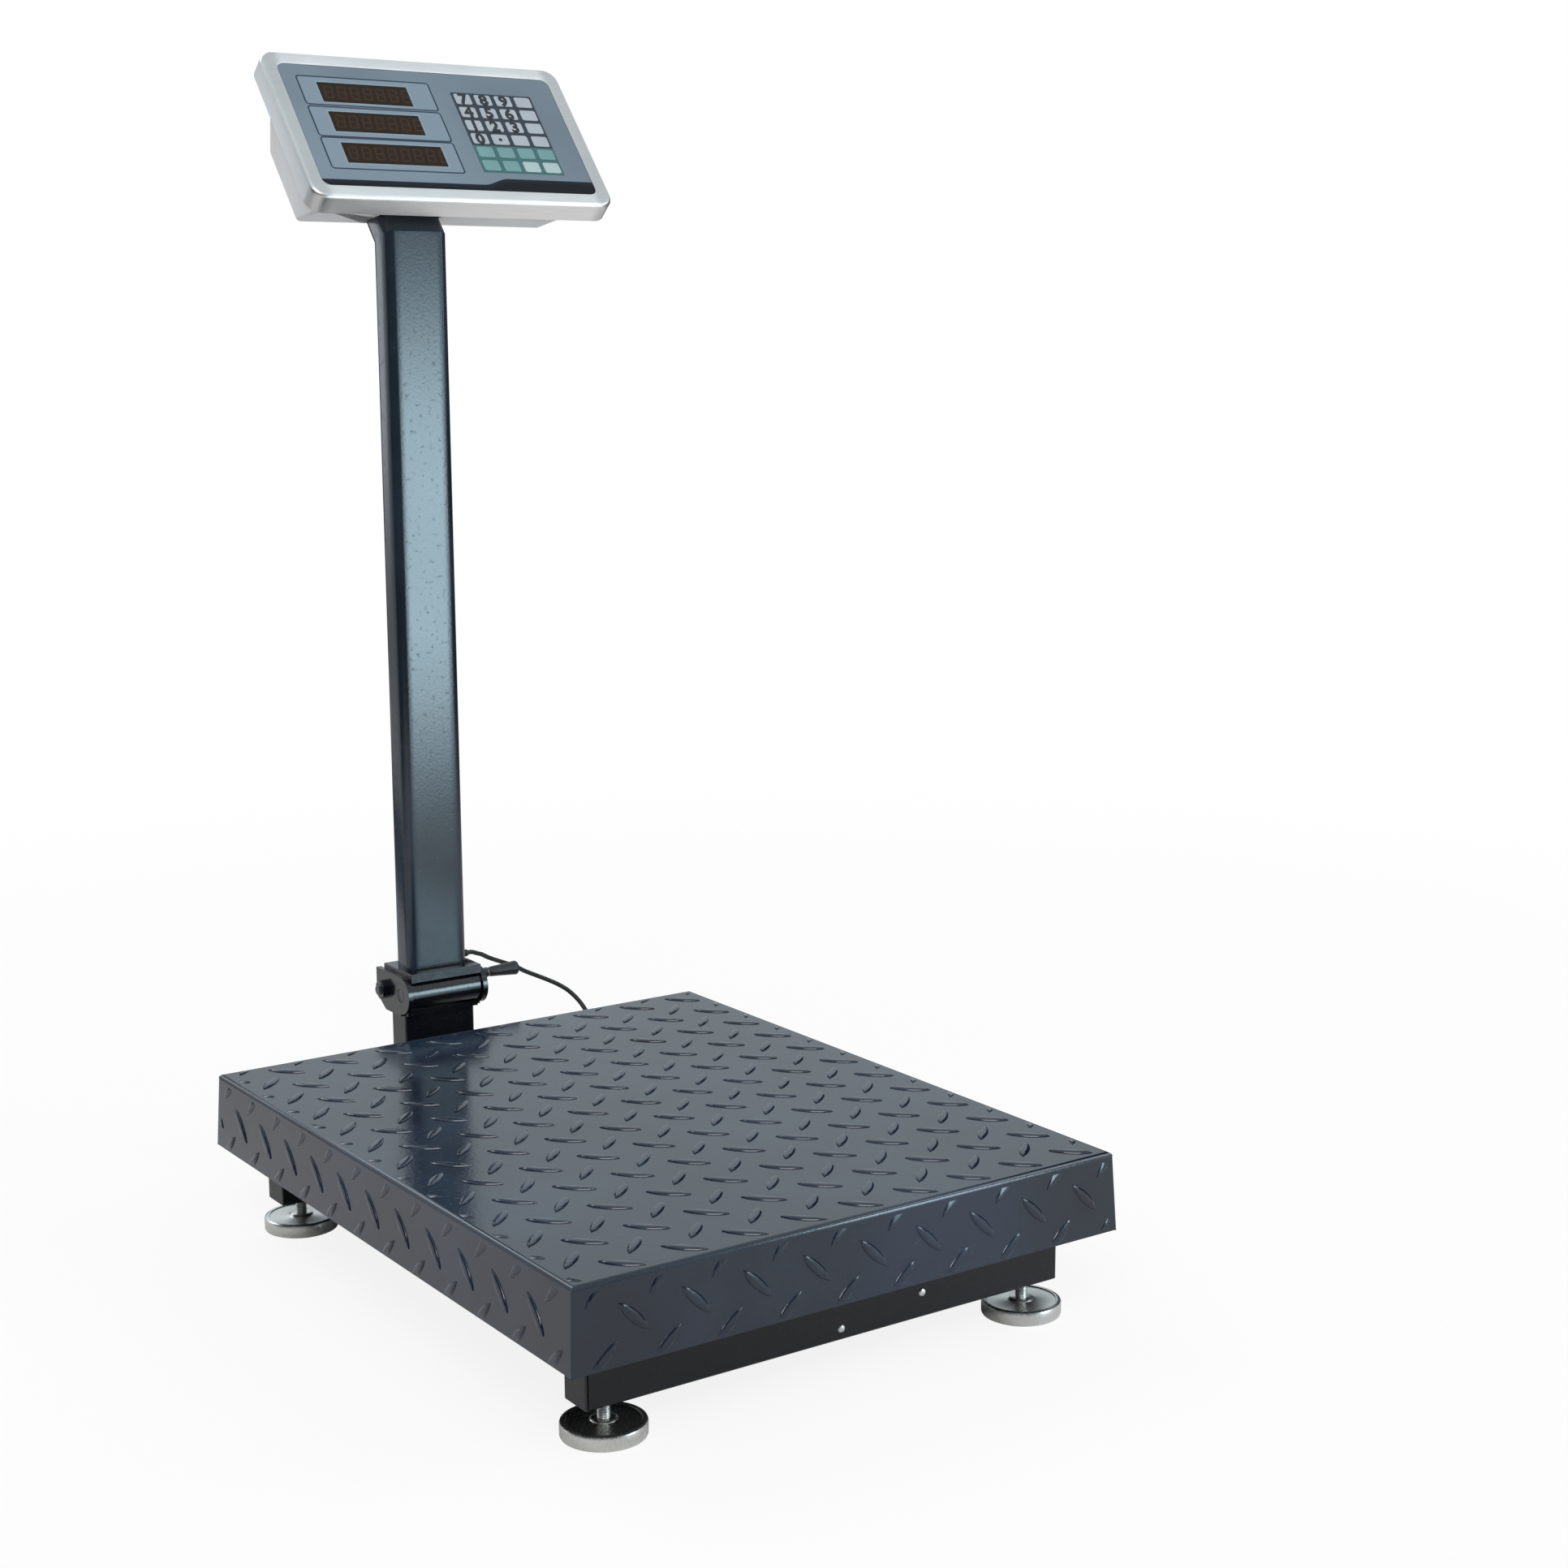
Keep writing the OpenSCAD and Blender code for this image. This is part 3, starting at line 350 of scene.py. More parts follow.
def panel_film(name, colour):
    """The indicator's film: blue-grey, with lighter boxes in thin frames and a dark lower band."""
    frames = ((19.5 * MM, 47.6 * MM), (-11.5 * MM, 17.6 * MM), (-42.8 * MM, -12.8 * MM))
    frame_middle, frame_half, frame_corner = -47.5 * MM, 53.3 * MM, 2.5 * MM
    window_margin, window_corner = 1.2 * MM, 0.8 * MM
    line_half, soft = 0.55 * MM, 0.15 * MM
    band_low, band_step, step_from, step_to = -53.4 * MM, 6.6 * MM, 18 * MM, 40 * MM
    ink = tuple(bpy.context.scene.scale_colours.print)
    surface = Surface(name, IOR=1.46, Specular_IOR_Level=0.16)
    x, _, z = surface.turned(FACE)
    film = surface.mix(shade(colour, 0.86), shade(colour, 1.12), surface.noise(7, 2).rise(0.3, 0.7))
    for bottom, top in frames:
        away = rounded_box_distance(x, z, (frame_middle, (bottom + top) / 2),
                                    (frame_half, (top - bottom) / 2), frame_corner)
        film = surface.mix(film, shade(colour, 1.22), away.fall(-soft, soft))
        film = surface.mix(film, shade(ink, 3.0), abs(away).fall(line_half, line_half + soft))
    for node in WINDOWS:
        centre, half = window_box(node)
        half = [size + window_margin for size in half]
        away = rounded_box_distance(x, z, centre, half, window_corner)
        film = surface.mix(film, shade(colour, 1.5), away.fall(-soft, soft))
    band_top = band_low + x.rise(step_from, step_to) * band_step
    band = (z - band_top).fall(-soft, soft)
    deep = surface.mix(ink, shade(ink, 0.35), (band_top - z).rise(0, 5 * MM))
    surface.colour(surface.mix(film, deep, band))
    grain = surface.noise(2400, 1)
    surface.roughness(0.3 + grain * 0.14)
    surface.bump(grain, 0.012 * MM)
    return surface.material


def unlit_digits(x, z, centre, half):
    """1 on the segments of a window's row of leaning digits, and 0 elsewhere."""
    pitch, lean, margin = 10.4 * MM, 0.12, 1.5 * MM
    wide, tall, thick, soft = 2.9 * MM, 5.6 * MM, 0.65 * MM, 0.3 * MM
    up = z - centre[1]
    start = centre[0] - half[0] + margin
    cell = x.nodes.math("FLOORED_MODULO", x - up * lean - start, pitch) - pitch / 2
    strokes = [abs(abs(cell) - wide), abs(abs(up) - tall), abs(up)]
    upright, end, bar = (away.fall(thick, thick * 1.5) for away in strokes)
    level = end.at_least(bar) * abs(cell).fall(wide, wide + soft)
    upright = upright * abs(up).fall(tall, tall + soft)
    return upright.at_least(level) * abs(up).fall(8 * MM, 8.5 * MM)


def window_filter(name, colour):
    """The dark filter, with faint unlit digits behind it."""
    surface = Surface(name, IOR=1.5, Specular_IOR_Level=0.1)
    x, _, z = surface.turned(FACE)
    upper, mid, lower = (unlit_digits(x, z, *window_box(node)) for node in WINDOWS)
    digits = upper.at_least(mid).at_least(lower)
    surface.colour(surface.mix(colour, shade(colour, 2.1), digits * 0.75))
    surface.roughness(0.12 + surface.noise(500, 2) * 0.1)
    surface.bump(surface.noise(900, 1), 0.006 * MM)
    return surface.material


def circuit_board(name, colour, track_colour):
    """Lacquered board with tracks."""
    pitch, track_from, track_to, wander = 3 * MM, 0.25 * MM, 0.35 * MM, 6 * MM
    surface = Surface(name, IOR=1.5)
    _, _, z = surface.turned(FACE)
    bent = z + surface.noise(30, 0) * wander
    track = abs(surface.math("FLOORED_MODULO", bent, pitch) - pitch / 2)
    lines = track.fall(track_from, track_to) * surface.noise(60, 1).rise(0.48, 0.52)
    surface.colour(surface.mix(colour, track_colour, lines))
    surface.roughness(0.25 + surface.noise(200, 2) * 0.2)
    surface.bump(lines, 0.03 * MM)
    return surface.material


# How far a grain is drawn out across, along and up the part.
ACROSS, ALONG, UP = (0.06, 1, 1), (1, 0.06, 1), (1, 1, 0.06)

# Each finish's maker, its colour and the maker's other values. A colour is fixed, or the name of
# one that a user may change and how much lighter it is.
FINISH_TABLE = {
    "base_enamel": (enamel, ("enamel", 1), 0.16, 0.05 * MM, 0.34),
    "tread_enamel": (enamel, ("tread", 1), 0.11, 0.04 * MM),
    "column_enamel": (enamel, ("column", 1), 0.13, 0.03 * MM),
    "hinge_enamel": (enamel, ("enamel", 1), 0.12, 0.05 * MM),
    "satin_stainless": (brushed_tray, ("stainless", 1), 0.26, ACROSS),
    "zinc_plate": (plated, ("zinc", 1), 0.28, UP),
    "foot_plate": (plated, ("zinc", 1.08), 0.17, (1, 1, 0.3)),
    "dark_steel": (plated, (0.12, 0.12, 0.13), 0.25, ACROSS),
    "cell_aluminium": (plated, (0.75, 0.76, 0.78), 0.32, ALONG),
    "bush_bronze": (plated, (0.55, 0.36, 0.16), 0.3, ACROSS),
    "shell_grey": (moulded, ("shell", 1), 0.42, 0.04 * MM),
    "black_plastic": (moulded, (0.012, 0.012, 0.013), 0.36),
    "black_rubber": (moulded, (0.010, 0.010, 0.010), 0.5),
    "battery_case": (moulded, (0.03, 0.03, 0.035), 0.45),
    "rocker_red": (moulded, (0.45, 0.02, 0.015), 0.18, 0.008 * MM),
    "key_plain": (moulded, ("key", 1), 0.4, 0.01 * MM),
    "key_tinted": (moulded, ("tinted", 1), 0.4, 0.01 * MM),
    "key_pale": (moulded, (0.34, 0.45, 0.45), 0.4, 0.01 * MM),
    "key_gap": (moulded, ("print", 1.6), 0.42, 0.01 * MM),
    "key_gap_tinted": (moulded, (0.03, 0.11, 0.12), 0.42, 0.01 * MM),
    "key_ink": (moulded, (0.008, 0.009, 0.014), 0.4, 0.01 * MM),
    "panel_film": (panel_film, ("panel", 1)),
    "window_filter": (window_filter, ("window", 1)),
    "board_lacquer": (circuit_board, (0.01, 0.09, 0.04), (0.03, 0.2, 0.09)),
}
FINISHES = {}


def finish(name):
    """A finish by name, made once."""
    if name not in FINISHES:
        maker, colour, *others = FINISH_TABLE[name]
        if isinstance(colour[0], str):
            colour = shade(getattr(bpy.context.scene.scale_colours, colour[0]), colour[1])
        FINISHES[name] = maker(name, colour, *others)
    return FINISHES[name]


# ---------- shapes ----------


def bevel(bm, edges, width, segments=2):
    """Rounds edges."""
    bmesh.ops.bevel(bm, geom=list(edges), offset=width, offset_type="OFFSET", segments=segments,
                    profile=0.5, affect="EDGES", material=-1, clamp_overlap=True)


def sharp_edges(bm, angle=32):
    """Edges whose two faces turn by more than an angle."""
    limit = math.radians(angle)
    return [e for e in bm.edges if len(e.link_faces) == 2 and e.calc_face_angle() > limit]


def hold_flat(bm, least=3 * MM, margin=0.3 * MM):
    """Insets the wide faces a little, so that their shading stays flat beside rounded edges."""
    wide = [f for f in bm.faces if min(e.calc_length() for e in f.edges) > least]
    bmesh.ops.inset_individual(bm, faces=wide, thickness=margin, use_even_offset=True)


def edges_along(bm, way):
    """Edges that run along a direction."""
    way = Vector(way)
    return [e for e in bm.edges
            if abs((e.verts[0].co - e.verts[1].co).normalized().dot(way)) > 0.999]


def faces_towards(bm, way):
    """Faces that look along a direction."""
    bm.normal_update()
    return [f for f in bm.faces if f.normal.dot(Vector(way)) > 0.99]


def open_up(bm, *ways):
    """Takes away the faces that look along these directions."""
    faces = [face for way in ways for face in faces_towards(bm, way)]
    bmesh.ops.delete(bm, geom=faces, context="FACES_ONLY")


def thicken(bm, wall):
    """Gives a sheet of faces a wall inwards."""
    bmesh.ops.solidify(bm, geom=bm.faces[:], thickness=wall)


def move(bm, place):
    """Moves all of a bmesh by a matrix."""
    bmesh.ops.transform(bm, matrix=place, verts=bm.verts[:])


def turn_about(axis, degrees):
    """A rotation about an axis."""
    return Matrix.Rotation(math.radians(degrees), 4, axis)


def block(low, high):
    """A new bmesh holding a box between two corners."""
    low, high = Vector(low), Vector(high)
    bm = bmesh.new()
    place = Matrix.Translation((low + high) / 2) @ Matrix.Diagonal((*(high - low), 1))
    bmesh.ops.create_cube(bm, size=1, matrix=place)
    return bm


def lathe(outline, steps):
    """A new bmesh turned round z from an outline of radii and heights, ends on the axis."""
    bm = bmesh.new()
    verts = [bm.verts.new((r, 0, z)) for r, z in outline]
    edges = [bm.edges.new(pair) for pair in zip(verts, verts[1:])]
    bmesh.ops.spin(bm, geom=verts + edges, cent=(0, 0, 0), axis=(0, 0, 1), angle=2 * math.pi,
                   steps=steps, use_merge=True)
    bmesh.ops.remove_doubles(bm, verts=bm.verts[:], dist=0.001 * MM)
    bmesh.ops.recalc_face_normals(bm, faces=bm.faces[:])
    return bm


def in_mm(outline):
    """An outline given in millimetres, in metres."""
    return [(radius * MM, height * MM) for radius, height in outline]


def mesh_of(name, bm):
    """Turns a bmesh into a mesh and frees it."""
    mesh = bpy.data.meshes.new(name)
    bm.to_mesh(mesh)
    bm.free()
    return mesh


def shown(name, data):
    """Makes a mesh, a camera or a lamp an object of the scene."""
    made = bpy.data.objects.new(name, data)
    bpy.context.scene.collection.objects.link(made)
    return made


def mesh_of_curve(curve):
    """Turns a curve or a text into a mesh and removes it."""
    holder = bpy.data.objects.new(curve.name, curve)
    mesh = bpy.data.meshes.new_from_object(holder)
    bpy.data.objects.remove(holder)
    bpy.data.curves.remove(curve)
    return mesh


def add(bm, part, place=None):
    """Adds one bmesh to another, at a place, and frees it."""
    if place is not None:
        move(part, place)
    mesh = mesh_of("part", part)
    bm.from_mesh(mesh)
    bpy.data.meshes.remove(mesh)


def pointing(at, way):
    """A place at a point, with its z along a direction."""
    return Matrix.Translation(at) @ Vector(way).to_track_quat("Z", "Y").to_matrix().to_4x4()


def softened(node, width):
    """A copy of a CAD node with its triangles joined into faces and its sharp edges rounded."""
    bm = bmesh.new()
    bm.from_mesh(frame["nodes"][node].data)
    bmesh.ops.remove_doubles(bm, verts=bm.verts[:], dist=0.002 * MM)
    bmesh.ops.dissolve_limit(
        bm, angle_limit=math.radians(1), verts=bm.verts[:], edges=bm.edges[:])
    if width:
        bevel(bm, sharp_edges(bm), width)
    bmesh.ops.dissolve_degenerate(bm, dist=0.001 * MM, edges=bm.edges[:])
    return bm


def span(node, place=None):
    """The corners of a node's box in the frame of a matrix."""
    back = (place or Matrix()).inverted()
    points = [back @ v.co for v in frame["nodes"][node].data.vertices]
    low = Vector(min(p[k] for p in points) for k in range(3))
    high = Vector(max(p[k] for p in points) for k in range(3))
    return low, high


def window_box(node):
    """A window's middle and half size across and up the face."""
    low, high = span(node, FACE)
    centre, half = (low + high) / 2, (high - low) / 2
    return (centre.x, centre.z), (half.x, half.z)


def piece(name, bm, surface, body, stands_for=(), place=None, crease=21):
    """Makes a bmesh a shown piece that rides on a body."""
    if place is not None:
        move(bm, place)
    return piece_of(name, mesh_of(name, bm), surface, body, stands_for, crease)


def piece_of(name, mesh, surface, body, stands_for=(), crease=21):
    """Makes a mesh a shown piece that rides on a body."""
    mesh.shade_smooth()
    mesh.set_sharp_from_angle(angle=math.radians(crease))
    mesh.materials.clear()
    mesh.materials.append(finish(surface))
    made = shown(name, mesh)
    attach(made, body)
    if stands_for:
        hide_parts(*stands_for)
    return made


def edged(node, width, surface, slot, body, name=None):
    """Makes a CAD node a shown piece, its sharp edges rounded by a width in millimetres."""
    piece(name or node + "_edged", softened(node, width * MM), surface, body, [node])


def box_tube(low, high, axis, wall, corner):
    """A round-cornered box tube along x, y or z (axis 0, 1 or 2), open at both ends."""
    way = Vector([float(k == axis) for k in range(3)])
    bm = block(low, high)
    bevel(bm, edges_along(bm, way), corner, 4)
    open_up(bm, way, -way)
    hold_flat(bm)
    thicken(bm, wall)
    return bm


# ---------- the pieces ----------

# The cable's route from the gland on the rear beam to the column's foot: millimetres from the
# platform's middle and the floor.
CABLE_ROUTE = [
    (140, 236, 45), (140, 246, 45), (140, 256, 45), (141, 267, 46), (142, 278, 50), (144, 289, 57),
    (145, 300, 66), (146, 309, 76), (144, 318, 86), (141, 326, 95), (135, 332, 103),
    (127, 335, 109), (118, 337, 114), (108, 338, 119), (98, 338, 124), (88, 337, 130),
    (77, 334, 135), (66, 329, 140), (56, 322, 145), (47, 315, 150), (40, 310, 153),
    (35, 308.5, 155), (31, 308.5, 155),
]
CABLE_RADIUS = 1.8 * MM


def smooth_route(points, steps):
    """Points on the smooth curve through a route's points."""
    ends = [points[0] * 2 - points[1], *points, points[-1] * 2 - points[-2]]
    found = []
    for before, a, b, after in zip(ends, ends[1:], ends[2:], ends[3:]):
        for k in range(steps):
            t = k / steps
            found.append(0.5 * (2 * a + (b - before) * t
                                + (2 * before - 5 * a + 4 * b - after) * t ** 2
                                + (3 * a - before - 3 * b + after) * t ** 3))
    return found + [points[-1]]


def tube_mesh(name, points, radius, sides):
    """A round tube along points, closed at its ends."""
    curve = bpy.data.curves.new(name, "CURVE")
    curve.dimensions = "3D"
    spline = curve.splines.new("POLY")
    spline.points.add(len(points) - 1)
    for target, point in zip(spline.points, points):
        target.co = (*point, 1)
    curve.bevel_depth = radius
    curve.bevel_resolution = sides // 4 - 1
    curve.use_fill_caps = True
    return mesh_of_curve(curve)


class SCALE_OT_cable(bpy.types.Operator):
    """Builds the data cable along its route, and its gland and grommet"""

    bl_idname = "scale.cable"
    bl_label = "Data cable"

    def execute(self, context):
        origin = Vector((*PLATFORM_MIDDLE.xy, 0))
        points = smooth_route([Vector(p) * MM + origin for p in CABLE_ROUTE], 4)
        mesh = tube_mesh("cable_sheath", points, CABLE_RADIUS, 16)
        cable = piece_of("cable_sheath", mesh, "black_rubber", "base", ["data_cable"])
        cable.parent = None
        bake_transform(cable)
        length = sum((b - a).length for a, b in zip(points, points[1:]))
        edged("cable_gland", 0.5, "black_plastic", "black_plastic", "base", "gland_body")
        edged("column_grommet", 0.4, "black_rubber", "black_rubber", "column", "cable_grommet")
        return {"FINISHED"}


class SCALE_OT_platform(bpy.types.Operator):
    """Builds the platform's folded sheet with its rolled tread bars, and its rubber pads"""

    bl_idname = "scale.platform"
    bl_label = "Platform"

    flare = 2.5 * MM
    sheet = 3 * MM
    corner = 1 * MM
    rim_edge = 0.4 * MM
    foot = -0.3 * MM
    fade = 7 * MM
    skirt_fade = 16 * MM
    overhang = 0.35
    bend_room = 0.5 * MM
    rim_room = 0.6 * MM
    # Where the bars start, as shares of the pitch: on the top, and on each skirt by its turn.
    top_start = (0.25, 0.43)
    skirt_starts = {0: (0.17, 0.06), 90: (0.40, 0.06), 180: (0.17, 0.06), 270: (0.02, 0.0)}
    # The share of its height and of its width that a bar has at each ring of its dome.
    rings = ((0.02, 1.0), (0.45, 0.9), (0.8, 0.68), (1.0, 0.34))

    def execute(self, context):
        sizes = context.scene.scale_sizes
        low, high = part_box("platform_plate")
        bm = block(low, high)
        for vert in bm.verts:
            if vert.co.z > PLATFORM_MIDDLE.z:
                vert.co.x += math.copysign(self.flare, PLATFORM_MIDDLE.x - vert.co.x)
                vert.co.y += math.copysign(self.flare, PLATFORM_MIDDLE.y - vert.co.y)
        top = faces_towards(bm, (0, 0, 1))[0]
        bevel(bm, top.edges[:], sizes.bend_radius, 5)
        upright = [e for e in sharp_edges(bm, 45)
                   if abs(e.verts[0].co.z - e.verts[1].co.z) > 10 * MM]
        bevel(bm, upright, self.corner)
        open_up(bm, (0, 0, -1))
        hold_flat(bm, 30 * MM)
        thicken(bm, self.sheet)
        bevel(bm, self.lower_rim(bm, low.z), self.rim_edge)
        piece("platform_sheet", bm, "tread_enamel", "base", ["platform_plate"])
        piece("rolled_tread", self.tread(sizes, low, high), "tread_enamel", "base",
              ["tread_bars"], crease=60)
        edged("platform_pads", 0.6, "black_rubber", "black_rubber", "base", "rubber_pads")
        return {"FINISHED"}

    def lower_rim(self, bm, floor):
        """The sharp edges round the skirts' lower rim."""
        return [e for e in sharp_edges(bm, 60)
                if all(abs(v.co.z - floor) < 0.2 * MM for v in e.verts)]

    def bar(self, sizes):
        """One tread bar: a slim lens with a domed back, its foot just inside the sheet."""
        points = 6
        outline = []
        for side in (1, -1):
            for k in range(points):
                t = k / points * 2 - 1
                outline.append((side * t * sizes.bar_length / 2,
                                side * (1 - t * t) ** 0.8 * sizes.bar_width / 2, 0))
        bm = bmesh.new()
        bm.faces.new([bm.verts.new(p) for p in outline])
        bmesh.ops.recalc_face_normals(bm, faces=bm.faces[:])
        if bm.faces[:][0].normal.z < 0:
            bmesh.ops.reverse_faces(bm, faces=bm.faces[:])
        bmesh.ops.translate(bm, vec=(0, 0, self.foot), verts=bm.verts[:])
        face = bm.faces[:][0]
        height, share = self.foot, 1.0
        for level, next_share in self.rings:
            made = bmesh.ops.extrude_face_region(bm, geom=[face])
            verts = [g for g in made["geom"] if isinstance(g, bmesh.types.BMVert)]
            top = [g for g in made["geom"] if isinstance(g, bmesh.types.BMFace)][0]
            rise = level * sizes.bar_height
            bmesh.ops.translate(bm, vec=(0, 0, rise - height), verts=verts)
            narrow = next_share / share
            bmesh.ops.scale(bm, vec=((1 + narrow) / 2, narrow, 1), verts=verts)
            height, share, face = rise, next_share, top
        return bm

    def rows(self, sizes, field, start, place, upper_fade):
        """Bars on a flat face of a size, fading out at its edges: two slants, half a pitch apart."""
        pitch = sizes.bar_pitch
        half = [length / 2 for length in field]
        limits = [h + sizes.bar_length / 2 * self.overhang for h in half]
        pattern = mesh_of("tread_bar", self.bar(sizes))
        bm = bmesh.new()
        counts = [int(h / pitch) + 2 for h in half]
        for i in range(-counts[0], counts[0] + 1):
            for j in range(-counts[1], counts[1] + 1):
                for shift, turn in ((0, -45), (0.5, 45)):
                    x = (i + shift + start[0]) * pitch
                    y = (j + shift + start[1]) * pitch
                    if abs(x) > limits[0] or abs(y) > limits[1]:
                        continue
                    fresh = len(bm.verts)
                    bm.from_mesh(pattern)
                    bm.verts.ensure_lookup_table()
                    at = Matrix.Translation((x, y, 0)) @ turn_about("Z", turn)
                    bmesh.ops.transform(bm, matrix=at, verts=bm.verts[fresh:])
        bpy.data.meshes.remove(pattern)
        for vert in bm.verts:
            for k in (0, 1):
                vert.co[k] = max(-half[k], min(half[k], vert.co[k]))
            room = min(half[0] - abs(vert.co.x), half[1] - abs(vert.co.y)) / self.fade
            room = min(room, (half[1] - vert.co.y) / upper_fade)
            if room < 1:
                share = max(0.0, room)
                vert.co.z = self.foot + (vert.co.z - self.foot) * (share * (2 - share))
        move(bm, place)
        return bm

    def tread(self, sizes, low, high):
        """The tread on the top and the four skirts."""
        top = Vector((high.x - low.x, high.y - low.y)) - Vector((2, 2)) * self.flare
        depth = high.z - low.z
        bend = sizes.bend_radius + self.bend_room
        middle_top = Matrix.Translation((*PLATFORM_MIDDLE.xy, high.z))
        bm = self.rows(sizes, (top.x - 2 * bend, top.y - 2 * bend), self.top_start, middle_top,
                       self.fade)
        lean = math.atan(self.flare / depth)
        tall = depth - bend - self.rim_room
        for turn, start in self.skirt_starts.items():
            width, away = (top.x, top.y / 2) if turn % 180 == 0 else (top.y, top.x / 2)
            place = (middle_top @ turn_about("Z", turn) @ Matrix.Translation((0, -away, 0))
                     @ Matrix.Rotation(math.pi / 2 - lean, 4, "X")
                     @ Matrix.Translation((0, -bend - tall / 2, 0)))
            add(bm, self.rows(sizes, (width - 2 * bend, tall), start, place, self.skirt_fade))
        return bm


class SCALE_OT_base(bpy.types.Operator):
    """Builds the base's box tubes with round corners, their caps and the two plugs in front"""

    bl_idname = "scale.base"
    bl_label = "Base frame"

    wall = 2 * MM
    frame_wall = 1.5 * MM
    plug_dome = ((0, -1.5), (2.6, -1.5), (2.6, 0.2), (2.1, 0.9), (1.2, 1.25), (0, 1.35))
    plug_places = ((66, 39), (3.5, 30))

    def execute(self, context):
        corner = context.scene.scale_sizes.tube_corner
        for node, axis, wall, suffix in (
                ("front_beam", 0, self.wall, "_tube"), ("rear_beam", 0, self.wall, "_tube"),
                ("left_rail", 1, self.wall, "_tube"), ("right_rail", 1, self.wall, "_tube"),
                ("column_arm", 1, self.wall, "_tube"), ("column_post", 2, self.wall, "_tube"),
                ("frame_left_tube", 1, self.frame_wall, "_round"),
                ("frame_right_tube", 1, self.frame_wall, "_round")):
            bm = box_tube(*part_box(node), axis, wall, corner)
            piece(node + suffix, bm, "base_enamel", "base", [node])
        for node in ("frame_end_tubes", "frame_middle_tubes", "cell_base_plate", "cell_top_plate"):
            edged(node, 0.5, "base_enamel", "black_paint", "base")
        edged("beam_caps", 0.7, "black_plastic", "black_plastic", "base", "tube_end_caps")
        self.plugs()
        return {"FINISHED"}

    def plugs(self):
        """Two small domed plugs in the front beam's face."""
        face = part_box("front_beam")[0].y
        bm = bmesh.new()
        for x, z in self.plug_places:
            add(bm, lathe(in_mm(self.plug_dome), 20), pointing((x * MM, face, z * MM), (0, -1, 0)))
        piece("beam_plugs", bm, "zinc_plate", "base")


class SCALE_OT_feet(bpy.types.Operator):
    """Builds the four levelling feet: a turned disc on a threaded stud"""

    bl_idname = "scale.feet"
    bl_label = "Levelling feet"

    disc = ((0, 0), (24.5, 0), (25.6, 0.5), (26, 1.4), (26, 8.2), (25.6, 9.2), (24.6, 9.7),
            (22.8, 9.7), (22.2, 9.1), (9.5, 9.4), (8.4, 9.8), (7.6, 10.7), (7, 11), (0, 11))
    stud_radius = 4 * MM

    def execute(self, context):
        sizes = context.scene.scale_sizes
        for name in FEET:
            centre = middle("foot_disc_" + name)
            at = Matrix.Translation((centre.x, centre.y, 0))
            body = "foot_" + name
            piece("disc_" + name, lathe(in_mm(self.disc), 64), "foot_plate", body,
                  ["foot_disc_" + name], at, 28)
            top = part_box("foot_stud_" + name)[1].z
            outline = thread(self.stud_radius, 10 * MM, top, sizes.thread_pitch)
            piece("stud_" + name, lathe(outline, 28), "zinc_plate", body,
                  ["foot_stud_" + name], at, 50)
        edged("foot_nuts", 0.3, "zinc_plate", "zinc", "base", "welded_foot_nuts")
        return {"FINISHED"}


def thread(radius, start, end, pitch):
    """A threaded rod's outline between two heights, its ends at the thread's root."""
    root = radius - 0.5 * pitch
    outline = [(0, start), (root, start)]
    turns = int((end - start) / pitch) - 1
    for k in range(turns):
        z = start + (k + 0.3) * pitch
        outline += [(root, z), (radius, z + 0.4 * pitch), (radius, z + 0.55 * pitch)]
    return outline + [(root, end), (0, end)]


